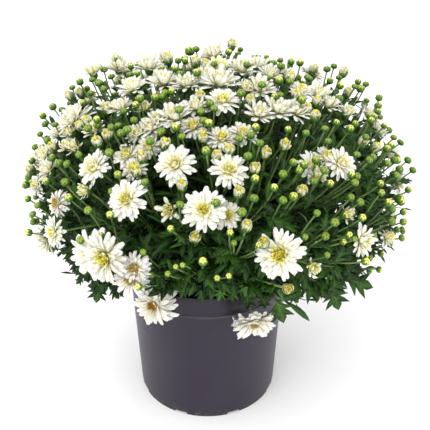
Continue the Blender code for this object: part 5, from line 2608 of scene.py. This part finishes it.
    def fine_leaf(self, node: str) -> None:
        """Makes the fine leaf that stands for a CAD leaf, whose foot is its end nearer the plant's axis.

        Args:
            node: the CAD leaf's name.
        """
        places = np.array([v.co for v in frame["nodes"][node].data.vertices])
        middle = places.mean(0)
        ways = np.linalg.eigh(np.cov((places - middle).T))[1]
        face = Vector(ways[:, 0])
        along = (places - middle) @ ways[:, 2]
        ends = [places[along.argmin()], places[along.argmax()]]
        axis = Vector((0.0, 0.0, ends[0][2]))
        foot, tip = sorted((Vector(end) for end in ends), key=lambda end: (end - axis).length)
        if face.z < 0:
            face.negate()
        length = (tip - foot).length
        copy = Copy(foot, basis(tip - foot, face), (length,) * 3, 1, 0.5)
        made = self.scatter.spread(f"{node}_blade", [copy], self.leaves, LEAF_GREEN)
        Workbench.seat(made, "leaf", node)

    def make(self) -> None:
        """Builds the whole plant."""
        self.read_frame()
        self.place_seen()
        self.place_hidden()
        self.dress_cad()
        for stem in MAIN_STEMS:
            self.grow_group(stem)
        self.fill()
        FineCopy.make("root_crown", "woody_crown", "crown", BARK, 2)


@dataclass(frozen=True)
class Light:
    """A broad, soft light: the place that it comes from, its strength and its spread in degrees."""

    name: str
    place: tuple
    power: float
    spread: float

    def make(self, target: Vector) -> None:
        """Makes the light.

        Args:
            target: the place that it is turned towards.
        """
        data = bpy.data.lights.new(self.name, "SUN")
        data.energy = self.power
        data.angle = math.radians(self.spread)
        made = Workbench.add(self.name, data)
        made.location = self.place
        made.rotation_euler = (target - Vector(self.place)).to_track_quat("-Z", "Y").to_euler()


class Studio:
    """The pale floor, the soft lights and the even light from all round."""

    lights = (
        Light("key", (-0.75, -1.15, 1.90), 1.2, 45.0),
        Light("fill", (1.50, -0.60, 1.10), 0.40, 50.0),
        Light("side", (-1.90, -0.10, 0.70), 0.40, 50.0),
    )
    target = Vector((0.0, 0.0, 0.22))
    surround = 1.25
    floor_size = 6.0

    def make(self) -> None:
        """Builds the floor, the lights and the surround."""
        work = bmesh.new()
        bmesh.ops.create_grid(work, x_segments=1, y_segments=1, size=self.floor_size)
        mesh = Workbench.settle(work, bpy.data.meshes.new("floor"))
        mesh.materials.append(FLOOR_PALE.make())
        Workbench.add("floor", mesh)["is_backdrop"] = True
        for light in self.lights:
            light.make(self.target)
        world = bpy.data.worlds.new("studio")
        bpy.context.scene.world = world
        world.use_nodes = True
        back = world.node_tree.nodes["Background"]
        back.inputs["Color"].default_value = (1.0, 1.0, 1.0, 1.0)
        back.inputs["Strength"].default_value = self.surround
        bpy.context.scene.view_settings.view_transform = "Standard"


def main() -> None:
    """Builds the pieces in order."""
    logging.basicConfig(level=logging.INFO, format="%(message)s")
    cad_low, cad_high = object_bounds()
    view = Viewpoint()
    view.make()
    Studio().make()
    PotMaker().make()
    plant = Plant(view, Limits(cad_low, cad_high))
    CompostMaker().make(plant.scatter)
    plant.make()


if __name__ == "__main__":
    main()
